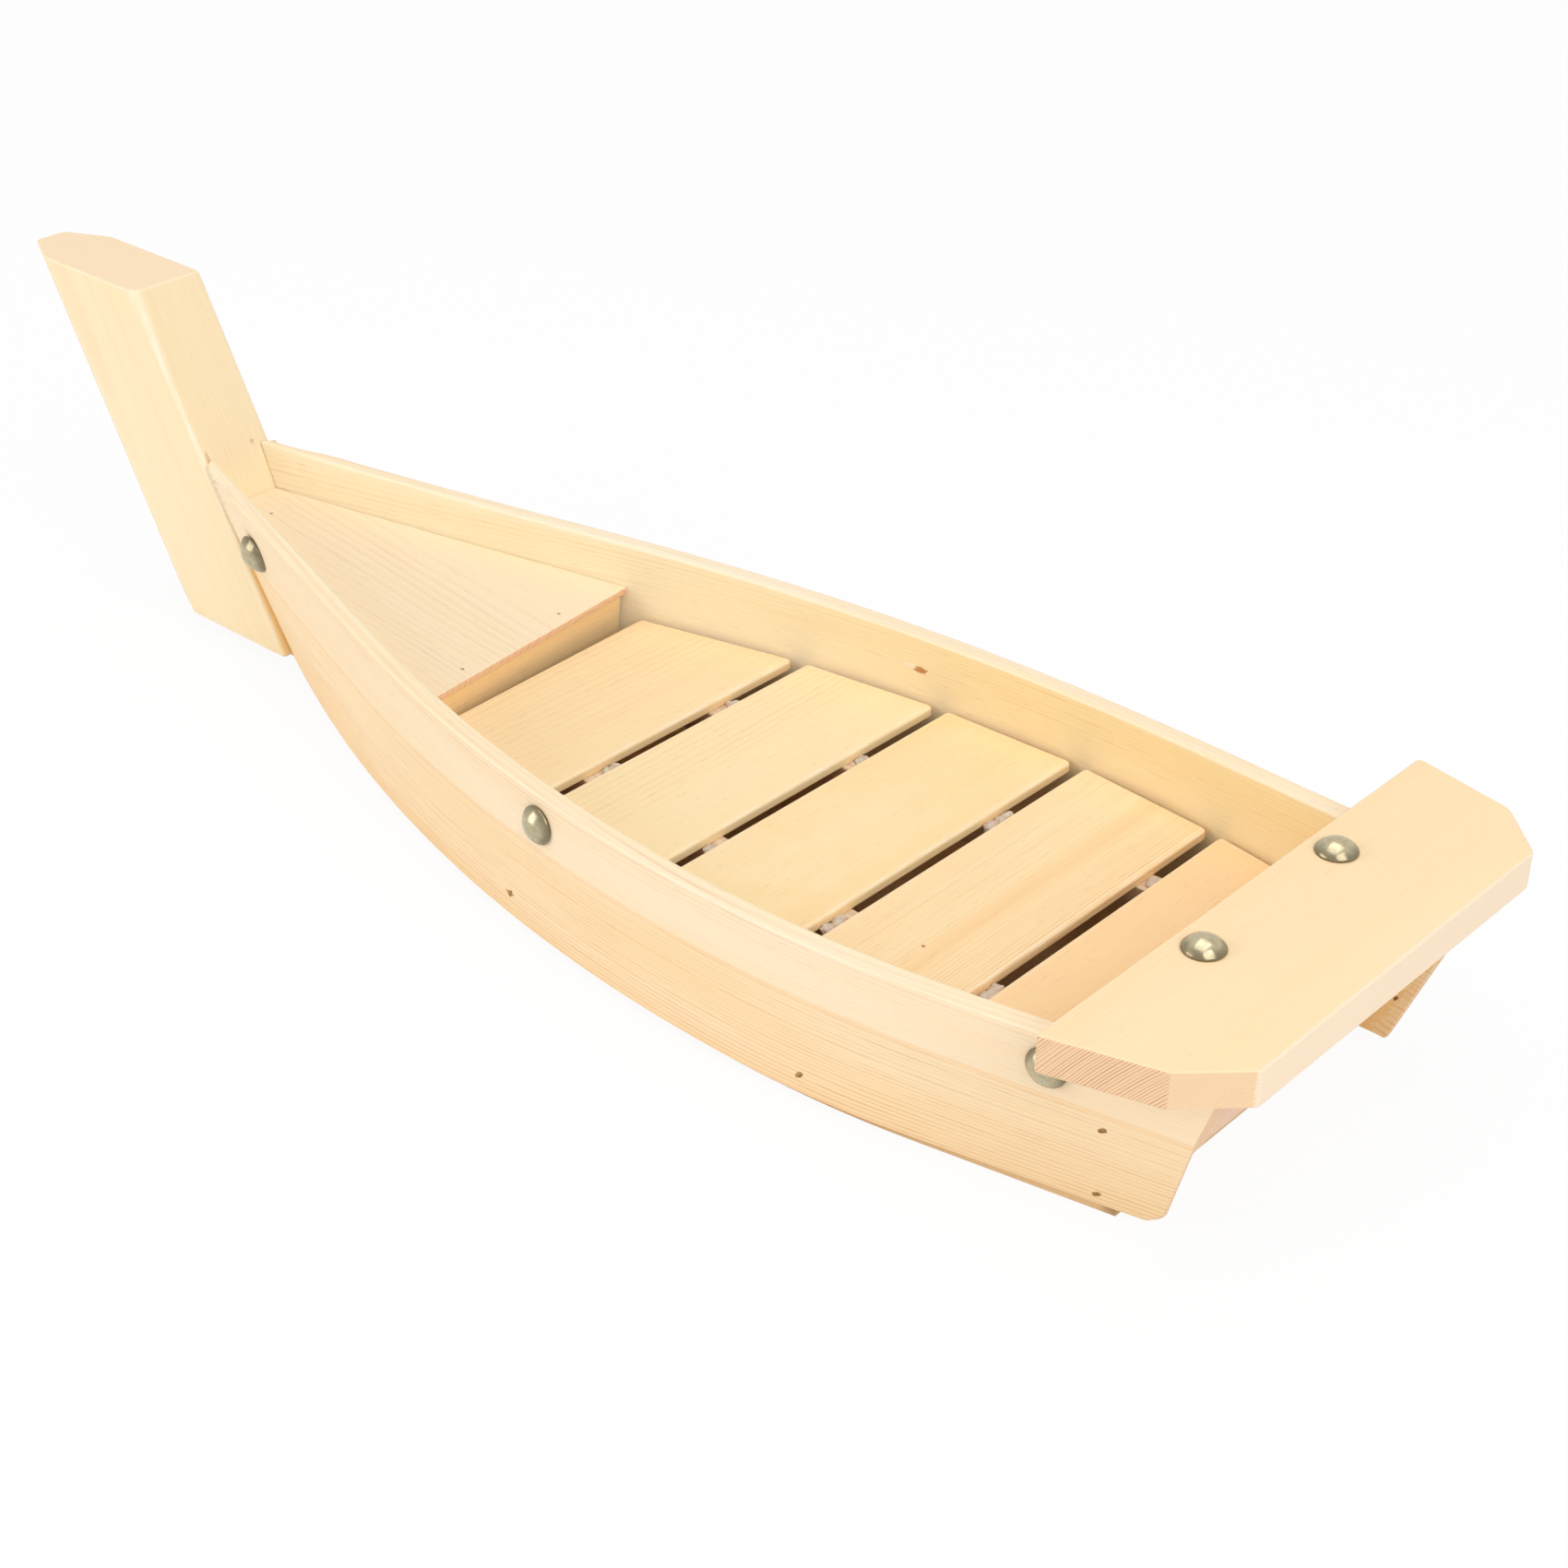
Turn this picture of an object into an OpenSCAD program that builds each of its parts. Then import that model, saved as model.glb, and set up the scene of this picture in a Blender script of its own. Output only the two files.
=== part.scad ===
// Wooden serving boat for sushi: two bent and knuckled side planks on a thin bottom board,
// a raked bow post, a stern board across the tails, a small foredeck and a lift-out slatted floor.
// +X points to the bow, +Y to port, +Z up. The origin is on the table, under the middle of the boat.

/* [Hull] */
// Length of a plank's foot edge, from its tail to the bow post
hull_foot_l = 356; // [320:1:400]
// Outside width at the rail, at the widest place
rail_beam = 147.6; // [130:0.2:165]
// Outside width at the knuckle, at the widest place
knuckle_beam = 147.8; // [132:0.2:168]
// Outside width at the foot of the planks, at the widest place
foot_beam = 141.4; // [124:0.2:158]
// Outside width at the rail, at the tails
rail_tail_w = 122; // [108:0.2:136]
// Outside width at the knuckle, at the tails
knuckle_tail_w = 119.8; // [104:0.2:132]
// Outside width at the foot, at the tails
foot_tail_w = 102; // [90:0.2:112]
// Outside width at the rail, at the bow post
rail_stem_w = 27; // [24:0.2:30]
// Outside width at the knuckle, at the bow post
knuckle_stem_w = 23; // [21:0.2:26]
// Outside width at the foot, at the bow post
foot_stem_w = 18.4; // [16:0.2:21]
// Distance from the foot of the tails to the widest place of the hull
widest_x = 121; // [107:0.5:135]
// Share of the rail's run to the bow that is bent, before it runs straight
rail_bend = 0.6; // [0.5:0.02:0.9]
// Share of the knuckle's run to the bow that is bent, before it runs straight
knuckle_bend = 0.66; // [0.5:0.02:0.9]
// Share of the foot's run to the bow that is bent, before it runs straight
foot_bend = 0.98; // [0.7:0.02:1]
// Share of the run to the tail that is bent, before the plank runs straight
tail_bend = 0.46; // [0.3:0.02:0.8]
// Height of the rail amidships above the table
rail_z = 50.2; // [47:0.2:52]
// Rise of the rail from amidships to the bow post
rail_bow_rise = 10.4; // [4:0.2:14]
// Rise of the rail from amidships towards the tails
rail_tail_rise = 6; // [5:0.2:8]
// Height of the knuckle amidships above the table
knuckle_z = 34; // [32.6:0.2:36]
// Rise of the knuckle from amidships to the tails
knuckle_tail_rise = 4.2; // [0:0.2:5]
// Thickness of a plank from the knuckle to the rail
plank_t = 6; // [5:0.1:7]
// Thickness of a plank from the knuckle to the rail, at the bow post
bow_t = 4; // [3.6:0.1:6]
// Thickness of a plank at its foot
foot_t = 3.6; // [3:0.1:5]
// Lean of the tail ends, in degrees, with the top further aft
tail_rake = 18.5; // [10:0.5:24]
// Radius of the lower corner of the port tail
tail_r = 6; // [4:0.5:9]
// Radius of the lower corner of the starboard tail, which was left sharper
starboard_tail_r = 1.5; // [1:0.5:9]

/* [Bottom board] */
// Thickness of the bottom board
bottom_t = 2.8; // [2:0.1:4]
// How far the bottom board lies inside the outer edge of the planks
bottom_inset = 2.8; // [1:0.1:2.9]
// How far the tails reach behind the bottom board
bottom_tail_gap = 11.5; // [6:0.5:14]
// How far the bottom board lies inside the planks at its rear end
bottom_tail_inset = 1; // [0:0.1:2.5]
// Length over which the bottom board's edge comes out towards its rear end
bottom_flush_l = 90; // [50:1:130]
// How far the bottom board reaches under the bow post
bottom_under_post = 12; // [6:0.5:20]
// Width of the bottom board's front end
bottom_front_w = 8; // [4:0.5:10]

/* [Bow post] */
// Width of the post
post_w = 25.6; // [20:0.2:30]
// Depth of the post, square to its length
post_d = 51; // [42:0.5:60]
// Width of the blunt nose
nose_w = 10.8; // [6:0.2:14]
// Length of the nose taper, square to the post's length
nose_l = 13; // [8:0.5:20]
// Height of the top of the post above the table
post_top_z = 108.5; // [95:0.5:120]
// Lean of the post, in degrees, with the top further forward
stem_rake = 29.7; // [24:0.1:34]
// Height of the foot of the post above the foot of the planks
post_foot_lift = 1.5; // [0:0.1:3]
// Radius of the lower front corner of the post
post_foot_r = 12; // [6:0.5:16]
// Length of the block behind the foot of the post
block_l = 26; // [18:0.5:34]

/* [Stern] */
// Thickness of the stern board
board_t = 10.2; // [7:0.1:12]
// Depth of the stern board, from its front edge to its rear edge
board_d = 44; // [40:0.5:50]
// Width of the stern board at its front edge
board_front_w = 162.8; // [150:0.2:176]
// Width of the stern board where its rear corners begin
board_mid_w = 148; // [136:0.2:150]
// Distance of the middle of the rear edge and its cut corners from the centre line, to starboard
board_cut_shift = 1.2; // [0:0.1:2]
// Width of the stern board at its rear edge
board_rear_w = 119.4; // [100:0.2:130]
// Depth of the rear corner cuts
board_corner_d = 14.6; // [8:0.2:18]
// How far the rear edge of the stern board stands behind the tails
board_overhang = 8; // [4:0.5:14]
// Height of the underside of the stern board above the table
board_seat_z = 54.8; // [53.6:0.1:55.6]
// Thickness of the transom
transom_t = 9; // [7:0.2:11]
// Distance from the foot of the tails to the middle of the transom's foot
transom_x = 16; // [15:0.5:20]
// Lean of the transom, in degrees, with the top further aft
transom_rake = 9; // [6:0.1:11]
// How far the beam between the tails reaches below the knuckle
tail_beam_drop = 3; // [0:0.5:8]
// Depth of the beam between the tails
tail_beam_d = 11; // [8:0.5:13]

/* [Foredeck] */
// Thickness of the foredeck
deck_t = 2.4; // [2:0.1:4]
// Height of the foredeck's top at the bow post
deck_bow_z = 48; // [45:0.2:51]
// Height of the foredeck's top at its rear edge
deck_rear_z = 39.8; // [38.5:0.1:43]
// Distance from the widest place of the hull to the foredeck's rear edge, on the centre line
deck_from_wide = 141; // [126:0.2:150]
// Angle by which the rear edge is out of square, in degrees
deck_skew = 5; // [0:0.5:6]
// Width of the beam under the rear edge
deck_beam_w = 8; // [7:0.5:14]
// Height of the beam under the rear edge
deck_beam_h = 16; // [8:0.5:18]
// Distance from the foredeck's rear edge to the beam
deck_beam_back = 0.6; // [0.2:0.2:5]
// Least gap between an end of the beam and the plank
deck_beam_gap = 1; // [0.5:0.5:8]

/* [Slatted floor] */
// Height of the slats' top above the table
slat_top_z = 31.3; // [28.5:0.1:32]
// Thickness of a slat
slat_t = 3; // [2.4:0.1:4]
// Width of the foremost slat
first_slat_w = 46.5; // [40:0.5:52]
// Gap between two slats
slat_gap = 4.6; // [4:0.1:7]
// Radius of the slats' long edges
slat_edge_r = 1; // [0.4:0.1:1.1]
// Gap between the slats' ends and the planks
slat_end_gap = 1; // [0.6:0.1:3]
// Gap in front of and behind the slatted floor
floor_gap = 1; // [0.6:0.1:2]
// Width of a batten under the slats
batten_w = 8; // [6:0.2:10]
// Height of a batten under the slats
batten_h = 8; // [6:0.2:9]
// Distance from the centre line to a batten's front end
batten_front_y = 22.5; // [11:0.5:26]
// Distance from the centre line to a batten's rear end
batten_rear_y = 37.5; // [34:0.5:45]
// How far the battens stop short of the outer slats' edges
batten_end = 5; // [3:0.5:12]
// Diameter of a glue bead
bead_d = 4; // [3:0.1:4.2]
// Height of a glue bead
bead_h = 1.8; // [1.2:0.1:2.2]
// Width of a bearer under the slatted floor
bearer_w = 12; // [8:0.5:16]
// Distance from the tails' foot to the rear bearer
rear_bearer_x = 95; // [70:0.5:110]
// Distance from the tails' foot to the front bearer
front_bearer_x = 203; // [180:0.5:225]

/* [Nails] */
// Diameter of a domed nail's head
dome_d = 11; // [9:0.1:12]
// Height of a domed nail's head
dome_h = 3.6; // [2.5:0.1:4.5]
// Diameter of a domed nail's shank
dome_shank_d = 1.8; // [1.4:0.1:2.2]
// Length of the shank of the domed nails in the planks' sides
side_shank_l = 3.8; // [3:0.1:4.8]
// Length of the shank of the domed nails in the stern board
board_shank_l = 15; // [13:0.5:20]
// Diameter of a wire brad
brad_d = 1.4; // [1:0.1:1.8]
// Length of a wire brad in a plank
plank_brad_l = 12; // [10:0.5:16]
// Length of a wire brad in the foredeck
deck_brad_l = 9; // [7:0.5:12]
// Height of the lower brads in the transom above the planks' foot
low_brad_up = 3.8; // [3:0.1:6]
// Height of the upper brads in the transom above the planks' foot
high_brad_up = 28; // [20:0.5:30]
// Height of the brads in the rear bearer above the planks' foot
rear_brad_up = 6; // [4:0.5:12]
// Height of the brads in the front bearer above the planks' foot
front_brad_up = 8; // [4:0.5:12]
// Distance of the port brad in the foredeck's beam from the centre line
port_brad_y = 23; // [12:0.5:30]
// Distance of the starboard brad in the foredeck's beam from the centre line
starboard_brad_y = 19; // [12:0.5:30]
// Distance of the foredeck's front brad to port of the centre line
front_brad_y = 4; // [0:0.5:5]
// Distance of the foredeck's front brad from the bow post
front_brad_back = 13; // [10:0.5:16]
// Distance from the centre line to the domed nails in the stern board
board_dome_y = 28.4; // [22:0.2:36]
// Distance from the stern board's front edge to its domed nails
board_dome_back = 8.4; // [8:0.1:10]
// Height of the domed nails in the planks above the knuckle
dome_over_knuckle = 8.2; // [6.4:0.1:9]
// Distance of the rear domed nails in the planks from the ends of the tails
rear_dome_in = 39; // [35:0.5:44]
// Distance of the middle domed nails in the planks from the ends of the tails
middle_dome_in = 199; // [150:1:240]
// Distance of the front domed nails in the planks from the bow post
front_dome_in = 18.8; // [15:0.1:30]

/* [Fits] */
// Gap left between pieces that are fitted against the planks
fit_gap = 0.15; // [0.1:0.05:0.3]
// Gap between the slatted floor and the bearers that carry it
seat_gap = 0.2; // [0.1:0.05:0.4]
// Gap between the bow block and the planks
block_gap = 0.6; // [0.5:0.05:0.8]
// Gap under the heads of the domed nails in the planks
dome_lift = 0.2; // [0.15:0.05:0.3]
// How far a brad stands proud of the wood
brad_proud = 0.1; // [0.05:0.05:0.2]
// How far a cut runs past the wood
bore_over = 1; // [0.5:0.5:2]
// Number of steps along a bent plank
plank_steps = 48; // [24:4:64]

/* [Hidden] */
$fn = 48;

// Colours of the pale wood, its sawn ends, the nails and the glue
wood = [0.96, 0.85, 0.65];
wood_dark = [0.90, 0.76, 0.55];
wood_pink = [0.95, 0.80, 0.64];
nail_metal = [0.78, 0.74, 0.64];
steel_dark = [0.35, 0.30, 0.27];
glue = [0.93, 0.93, 0.90];

// Heights and slopes that the pieces share
foot_z = bottom_t;
board_top_z = board_seat_z + board_t;
tail_slope = tan(tail_rake);
stem_slope = tan(stem_rake);
slats_n = 5;

// Along the boat: the middle of the overall length is at X = 0
nose_from_tail = hull_foot_l + (post_top_z - foot_z) * stem_slope + post_d / cos(stem_rake);
board_rear_from_tail = -(board_seat_z - foot_z) * tail_slope - board_overhang;
tail_foot_x = -(nose_from_tail + board_rear_from_tail) / 2;
stem_foot_x = tail_foot_x + hull_foot_l;
board_rear_x = tail_foot_x + board_rear_from_tail;
board_front_x = board_rear_x + board_d;
bottom_rear_x = tail_foot_x + bottom_tail_gap;
bottom_front_x = stem_foot_x + bottom_under_post;

function tail_x(z) = tail_foot_x - (z - foot_z) * tail_slope;
function stem_x(z) = stem_foot_x + (z - foot_z) * stem_slope;
function along(s, z) = tail_x(z) + s * (stem_x(z) - tail_x(z));
function share(x, z) = (x - tail_x(z)) / (stem_x(z) - tail_x(z));

// Plan curve of a bent plank: an arc that runs out into a straight line
wide_at = widest_x / hull_foot_l;
function arc_line(u, b) = u < b ? u * u / (2 * b - b * b) : (2 * b * u - b * b) / (2 * b - b * b);
function aft(s) = max(0, (wide_at - s) / wide_at);
function fwd(s) = max(0, (s - wide_at) / (1 - wide_at));
function bent(s, e) =
  e[0] / 2
  - (e[0] - e[1]) / 2 * arc_line(aft(s), tail_bend)
  - (e[0] - e[2]) / 2 * arc_line(fwd(s), e[3]);

// Half breadths and heights of the three edges of a plank's outer face
foot_edge = [foot_beam, foot_tail_w, foot_stem_w, foot_bend];
knuckle_edge = [knuckle_beam, knuckle_tail_w, knuckle_stem_w, knuckle_bend];
rail_edge = [rail_beam, rail_tail_w, rail_stem_w, rail_bend];
function foot_y(s) = bent(s, foot_edge);
function knuckle_y(s) = bent(s, knuckle_edge);
function rail_y(s) = bent(s, rail_edge);
function knuckle_h(s) = knuckle_z + knuckle_tail_rise * pow(aft(s), 2);
function sheer_h(s) = rail_z + rail_bow_rise * pow(fwd(s), 2) + rail_tail_rise * pow(aft(s), 2);
function rail_h(s) = s < wide_at ? min(board_seat_z, sheer_h(s)) : sheer_h(s);

// Wall measured across the boat, for a wall t thick square to the bent plank
step_s = 0.01;
function slant(s, e) = (bent(s + step_s, e) - bent(s - step_s, e)) / (2 * step_s) / hull_foot_l;
function inside(s, e, t) = bent(s, e) - t * sqrt(1 + pow(slant(s, e), 2));
function foot_in_y(s) = inside(s, foot_edge, foot_t);
function wall_t(s) = mix(plank_t, bow_t, pow(fwd(s), 2));
function knuckle_in_y(s) = inside(s, knuckle_edge, wall_t(s));
function rail_in_y(s) = inside(s, rail_edge, wall_t(s));

// Half breadth of the outer and the inner face at any place
function mix(a, b, q) = a + (b - a) * q;
function in_y_at(s, z) =
  z < knuckle_h(s)
  ? mix(foot_in_y(s), knuckle_in_y(s), (z - foot_z) / (knuckle_h(s) - foot_z))
  : mix(knuckle_in_y(s), rail_in_y(s), (z - knuckle_h(s)) / (rail_h(s) - knuckle_h(s)));
function out_y_at(s, z) =
  z < knuckle_h(s)
  ? mix(foot_y(s), knuckle_y(s), (z - foot_z) / (knuckle_h(s) - foot_z))
  : mix(knuckle_y(s), rail_y(s), (z - knuckle_h(s)) / (rail_h(s) - knuckle_h(s)));
function in_y(x, z) = in_y_at(share(x, z), z);
function out_y(x, z) = out_y_at(share(x, z), z);
function narrow(x0, x1, z0, z1) =
  min([for (x = [x0, x1]) for (z = [z0, (z0 + z1) / 2, z1]) in_y(x, z)]);

// The foredeck's slope, and its rear edge on the centre line
deck_rear_x = along(wide_at, deck_rear_z) + deck_from_wide;
deck_front_x = stem_x(deck_bow_z);
deck_slope = atan((deck_bow_z - deck_rear_z) / (deck_front_x - deck_rear_x));
function deck_z(x) = deck_rear_z + (x - deck_rear_x) * tan(deck_slope);
function deck_in_y(x) = min(in_y(x, deck_z(x)), in_y(x, deck_z(x) - deck_t)) - fit_gap;
deck_port_x = deck_rear_x - deck_in_y(deck_rear_x) * tan(deck_skew);

// The slatted floor fills the well between the foredeck and the stern board
slat_z = slat_top_z - slat_t;
floor_front_x = deck_port_x - floor_gap;
floor_rear_x = board_front_x + floor_gap;
slat_w = (floor_front_x - floor_rear_x - first_slat_w - (slats_n - 1) * slat_gap) / (slats_n - 1);
function slat_front(i) = i == 0
  ? floor_front_x
  : floor_front_x - first_slat_w - slat_gap - (i - 1) * (slat_w + slat_gap);
function slat_rear(i) = slat_front(i) - (i == 0 ? first_slat_w : slat_w);
function well_y(x) =
  min([for (z = [slat_z, slat_top_z, knuckle_h(share(x, slat_top_z)), rail_z]) in_y(x, z)]) - slat_end_gap;
batten_z = slat_z - batten_h;
batten_front_x = floor_front_x - batten_end;
batten_rear_x = floor_rear_x + batten_end;
batten_turn = atan((batten_rear_y - batten_front_y) / (batten_front_x - batten_rear_x));
function batten_y(x) = batten_front_y + (batten_front_x - x) * tan(batten_turn);
bearer_top_z = batten_z - seat_gap;

// The transom's middle plane
function transom_mid_x(z) = tail_foot_x + transom_x - (z - foot_z) * tan(transom_rake);
board_dome_x = board_front_x - board_dome_back;
transom_brad_z = [foot_z + low_brad_up, foot_z + high_brad_up];
rear_brad_z = foot_z + rear_brad_up;
front_brad_z = foot_z + front_brad_up;
plank_end_s = 1 - fit_gap / hull_foot_l;

// Spots for the domed nails in the port plank, and the way the plank faces there
dome_run_z = knuckle_z + dome_over_knuckle;
dome_run = stem_x(dome_run_z) - tail_x(dome_run_z);
plank_dome_s = [rear_dome_in / dome_run, middle_dome_in / dome_run, 1 - front_dome_in / dome_run];
function dome_z(s) = knuckle_h(s) + dome_over_knuckle;
function dome_x(s) = along(s, dome_z(s));
function spot(x, z) = [x, out_y(x, z), z];
function facing(x, z) = [
  -(out_y(x + 2, z) - out_y(x - 2, z)) / 4,
  1,
  -(out_y(x, z + 2) - out_y(x, z - 2)) / 4
];

// The foredeck's three brads: two into the beam, one into the block behind the post
deck_beam_x = deck_rear_x + deck_beam_back;
deck_brad_at = [
  [deck_beam_x + deck_beam_w / 2 - port_brad_y * tan(deck_skew), port_brad_y],
  [deck_beam_x + deck_beam_w / 2 + starboard_brad_y * tan(deck_skew), -starboard_brad_y],
  [deck_front_x - front_brad_back, front_brad_y]
];

// A closed solid through a row of six-cornered sections, each made of two stacked quads
module loft(sections) {
  n = len(sections);
  points = [for (c = sections) for (p = c) p];
  skin = [
    for (i = [0 : n - 2]) for (j = [0 : 5])
      let (k = (j + 1) % 6, a = i * 6, b = a + 6)
      each [[a + j, a + k, b + k], [a + j, b + k, b + j]]
  ];
  e = (n - 1) * 6;
  first = [[0, 5, 4], [0, 4, 1], [1, 4, 3], [1, 3, 2]];
  last = [for (t = first) [e + t[2], e + t[1], e + t[0]]];
  polyhedron(points = points, faces = concat(skin, first, last));
}

// Turn a piece that stands on +Z to point along a direction
module point_along(v) {
  rotate([0, acos(v[2] / norm(v)), atan2(v[1], v[0])])
    children();
}

// Bores and brads that lie across the boat, from the plank's outer face inwards
module brad_across(x, z, proud) {
  translate([x, out_y(x, z) + proud, z])
    rotate([90, 0, 0])
      cylinder(d = brad_d, h = plank_brad_l + proud);
}

module plank_brads(proud) {
  for (z = transom_brad_z)
    brad_across(transom_mid_x(z), z, proud);
  brad_across(tail_foot_x + rear_bearer_x, rear_brad_z, proud);
  brad_across(tail_foot_x + front_bearer_x, front_brad_z, proud);
}

module both_sides() {
  children();
  mirror([0, 1, 0])
    children();
}

module plank_dome_shanks() {
  for (s = plank_dome_s)
    translate(spot(dome_x(s), dome_z(s)))
      point_along(facing(dome_x(s), dome_z(s)))
        translate([0, 0, -side_shank_l])
          cylinder(d = dome_shank_d, h = side_shank_l + bore_over);
}

// What rounding takes off the lower corner of a tail
module tail_corner(r) {
  a = 90 + tail_rake;
  reach = r / tan(a / 2);
  difference() {
    translate([tail_foot_x - r, 0, foot_z])
      rotate([90, 0, 0])
        linear_extrude(2 * rail_beam, center = true)
          polygon([
            [0, -bore_over],
            [r + reach, -bore_over],
            [r + reach, r],
            [r + reach - r * cos(tail_rake), r - r * sin(tail_rake)],
            [0, r]
          ]);
    translate([tail_foot_x + reach, 0, foot_z + r])
      rotate([90, 0, 0])
        cylinder(r = r, h = 3 * rail_beam, center = true);
  }
}

module bent_plank(corner_r) {
  difference() {
    loft([
      for (i = [0 : plank_steps])
        let (s = plank_end_s * i / plank_steps, k = knuckle_h(s), r = rail_h(s))
        [
          [along(s, foot_z), foot_y(s), foot_z],
          [along(s, k), knuckle_y(s), k],
          [along(s, r), rail_y(s), r],
          [along(s, r), rail_in_y(s), r],
          [along(s, k), knuckle_in_y(s), k],
          [along(s, foot_z), foot_in_y(s), foot_z]
        ]
    ]);
    tail_corner(corner_r);
    plank_dome_shanks();
    plank_brads(bore_over);
  }
}

// The post's outline from the side, with its top and foot cut level
module post_side() {
  post_foot_z = foot_z + post_foot_lift;
  tip_x = stem_x(post_foot_z) + post_d / cos(stem_rake);
  c = [tip_x - post_foot_r * tan((90 - stem_rake) / 2), post_foot_z + post_foot_r];
  polygon([
    [stem_x(post_foot_z), post_foot_z],
    [c[0], post_foot_z],
    c,
    [c[0] + post_foot_r * cos(stem_rake), c[1] - post_foot_r * sin(stem_rake)],
    [stem_x(post_top_z) + post_d / cos(stem_rake), post_top_z],
    [stem_x(post_top_z), post_top_z]
  ]);
  translate(c)
    circle(r = post_foot_r);
}

module bow_post() {
  color(wood)
    intersection() {
      rotate([90, 0, 0])
        linear_extrude(2 * post_w, center = true)
          post_side();
      translate([stem_foot_x, 0, foot_z])
        rotate([0, stem_rake, 0])
          translate([0, 0, -post_d])
            linear_extrude(post_top_z / cos(stem_rake) + 2 * post_d)
              polygon([
                [0, -post_w / 2],
                [post_d - nose_l, -post_w / 2],
                [post_d, -nose_w / 2],
                [post_d, nose_w / 2],
                [post_d - nose_l, post_w / 2],
                [0, post_w / 2]
              ]);
    }
}

// Everything forward of the post's rear face, moved aft by a gap
module ahead_of_stem(gap) {
  translate([stem_foot_x - gap / cos(stem_rake), 0, foot_z])
    rotate([0, stem_rake, 0])
      translate([0, -rail_beam, -rail_beam])
        cube([rail_beam, 2 * rail_beam, 3 * rail_beam]);
}

// Filling block behind the post, between the planks and under the foredeck
module bow_block() {
  s0 = share(stem_foot_x - block_l, foot_z);
  color(wood_dark)
    difference() {
      loft([
        for (i = [0 : 8])
          let (
            s = s0 + (1.02 - s0) * i / 8,
            k = knuckle_h(s),
            x = along(s, deck_rear_z),
            t = deck_z(x) - deck_t - 2 * fit_gap,
            g = block_gap
          )
          [
            [along(s, foot_z), foot_in_y(s) - g, foot_z],
            [along(s, k), in_y_at(s, k) - g, k],
            [along(s, t), in_y_at(s, t) - g, t],
            [along(s, t), -in_y_at(s, t) + g, t],
            [along(s, k), -in_y_at(s, k) + g, k],
            [along(s, foot_z), -foot_in_y(s) + g, foot_z]
          ]
      ]);
      ahead_of_stem(fit_gap);
      deck_brads(bore_over);
    }
}

module port_plank() {
  color(wood)
    bent_plank(tail_r);
}

module starboard_plank() {
  color(wood)
    mirror([0, 1, 0])
      bent_plank(starboard_tail_r);
}

// Half breadth of the bottom board: under the planks, then tapering under the post
function bottom_y(x) = x < stem_foot_x
  ? foot_y(share(x, foot_z))
      - mix(bottom_tail_inset, bottom_inset, min(1, (x - bottom_rear_x) / bottom_flush_l))
  : mix(foot_y(1) - bottom_inset, bottom_front_w / 2, (x - stem_foot_x) / bottom_under_post);

module bottom_board() {
  n = 40;
  xs = [for (i = [0 : n]) bottom_rear_x + (bottom_front_x - bottom_rear_x) * i / n];
  color(wood_dark)
    linear_extrude(bottom_t)
      polygon(concat(
        [for (x = xs) [x, bottom_y(x)]],
        [for (i = [n : -1 : 0]) [xs[i], -bottom_y(xs[i])]]
      ));
}

// A board between the planks, square across the boat and leaning aft by an angle:
// its rear face passes x0 at height z0
module leaning_board(x0, z0, z1, t, angle) {
  slope = tan(angle);
  d = t / cos(angle);
  zs = [for (i = [0 : 6]) z0 + (z1 - z0) * i / 6];
  ys = [for (z = zs) narrow(x0 - (z - z0) * slope, x0 - (z - z0) * slope + d, z, z) - fit_gap];
  intersection() {
    translate([0, 0, z0])
      linear_extrude(z1 - z0)
        translate([x0 - rail_beam, -rail_beam])
          square([2 * rail_beam, 2 * rail_beam]);
    translate([x0, 0, z0])
      rotate([0, -angle, 0])
        rotate([90, 0, 90])
          linear_extrude(t)
            polygon(concat(
              [[ys[0], -t]],
              [for (i = [0 : 6]) [ys[i], (zs[i] - z0) / cos(angle)]],
              [[ys[6], (z1 - z0) / cos(angle) + t]],
              [[-ys[6], (z1 - z0) / cos(angle) + t]],
              [for (i = [6 : -1 : 0]) [-ys[i], (zs[i] - z0) / cos(angle)]],
              [[-ys[0], -t]]
            ));
  }
}

module transom() {
  color(wood_dark)
    difference() {
      leaning_board(
        transom_mid_x(foot_z) - transom_t / 2 / cos(transom_rake),
        foot_z,
        board_seat_z,
        transom_t,
        transom_rake
      );
      both_sides()
        plank_brads(bore_over);
      board_dome_bores();
    }
}

// Beam between the tails, from below the knuckle up to the stern board
module tail_beam() {
  z0 = knuckle_h(0) - tail_beam_drop;
  color(wood_pink)
    leaning_board(tail_x(z0), z0, board_seat_z, tail_beam_d, tail_rake);
}

module board_dome_bores() {
  both_sides()
    translate([board_dome_x, board_dome_y, board_top_z - board_shank_l])
      cylinder(d = dome_shank_d, h = board_shank_l + bore_over);
}

module stern_board() {
  color(wood)
    difference() {
      translate([board_rear_x, 0, board_seat_z])
        linear_extrude(board_t)
          polygon([
            [board_d, -board_front_w / 2],
            [board_d, board_front_w / 2],
            [board_corner_d, board_mid_w / 2 - board_cut_shift],
            [0, board_rear_w / 2 - board_cut_shift],
            [0, -board_rear_w / 2 - board_cut_shift],
            [board_corner_d, -board_mid_w / 2 - board_cut_shift]
          ]);
      board_dome_bores();
    }
}

module deck_brads(proud) {
  for (p = deck_brad_at)
    translate([p[0], p[1], deck_z(p[0])])
      rotate([0, -deck_slope, 0])
        translate([0, 0, -deck_brad_l])
          cylinder(d = brad_d, h = deck_brad_l + proud);
}

// Place a piece in the foredeck's plane: its top is at Z = 0, the rear edge at X = 0
module on_deck() {
  translate([deck_rear_x, 0, deck_rear_z])
    rotate([0, -deck_slope, 0])
      children();
}

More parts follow.
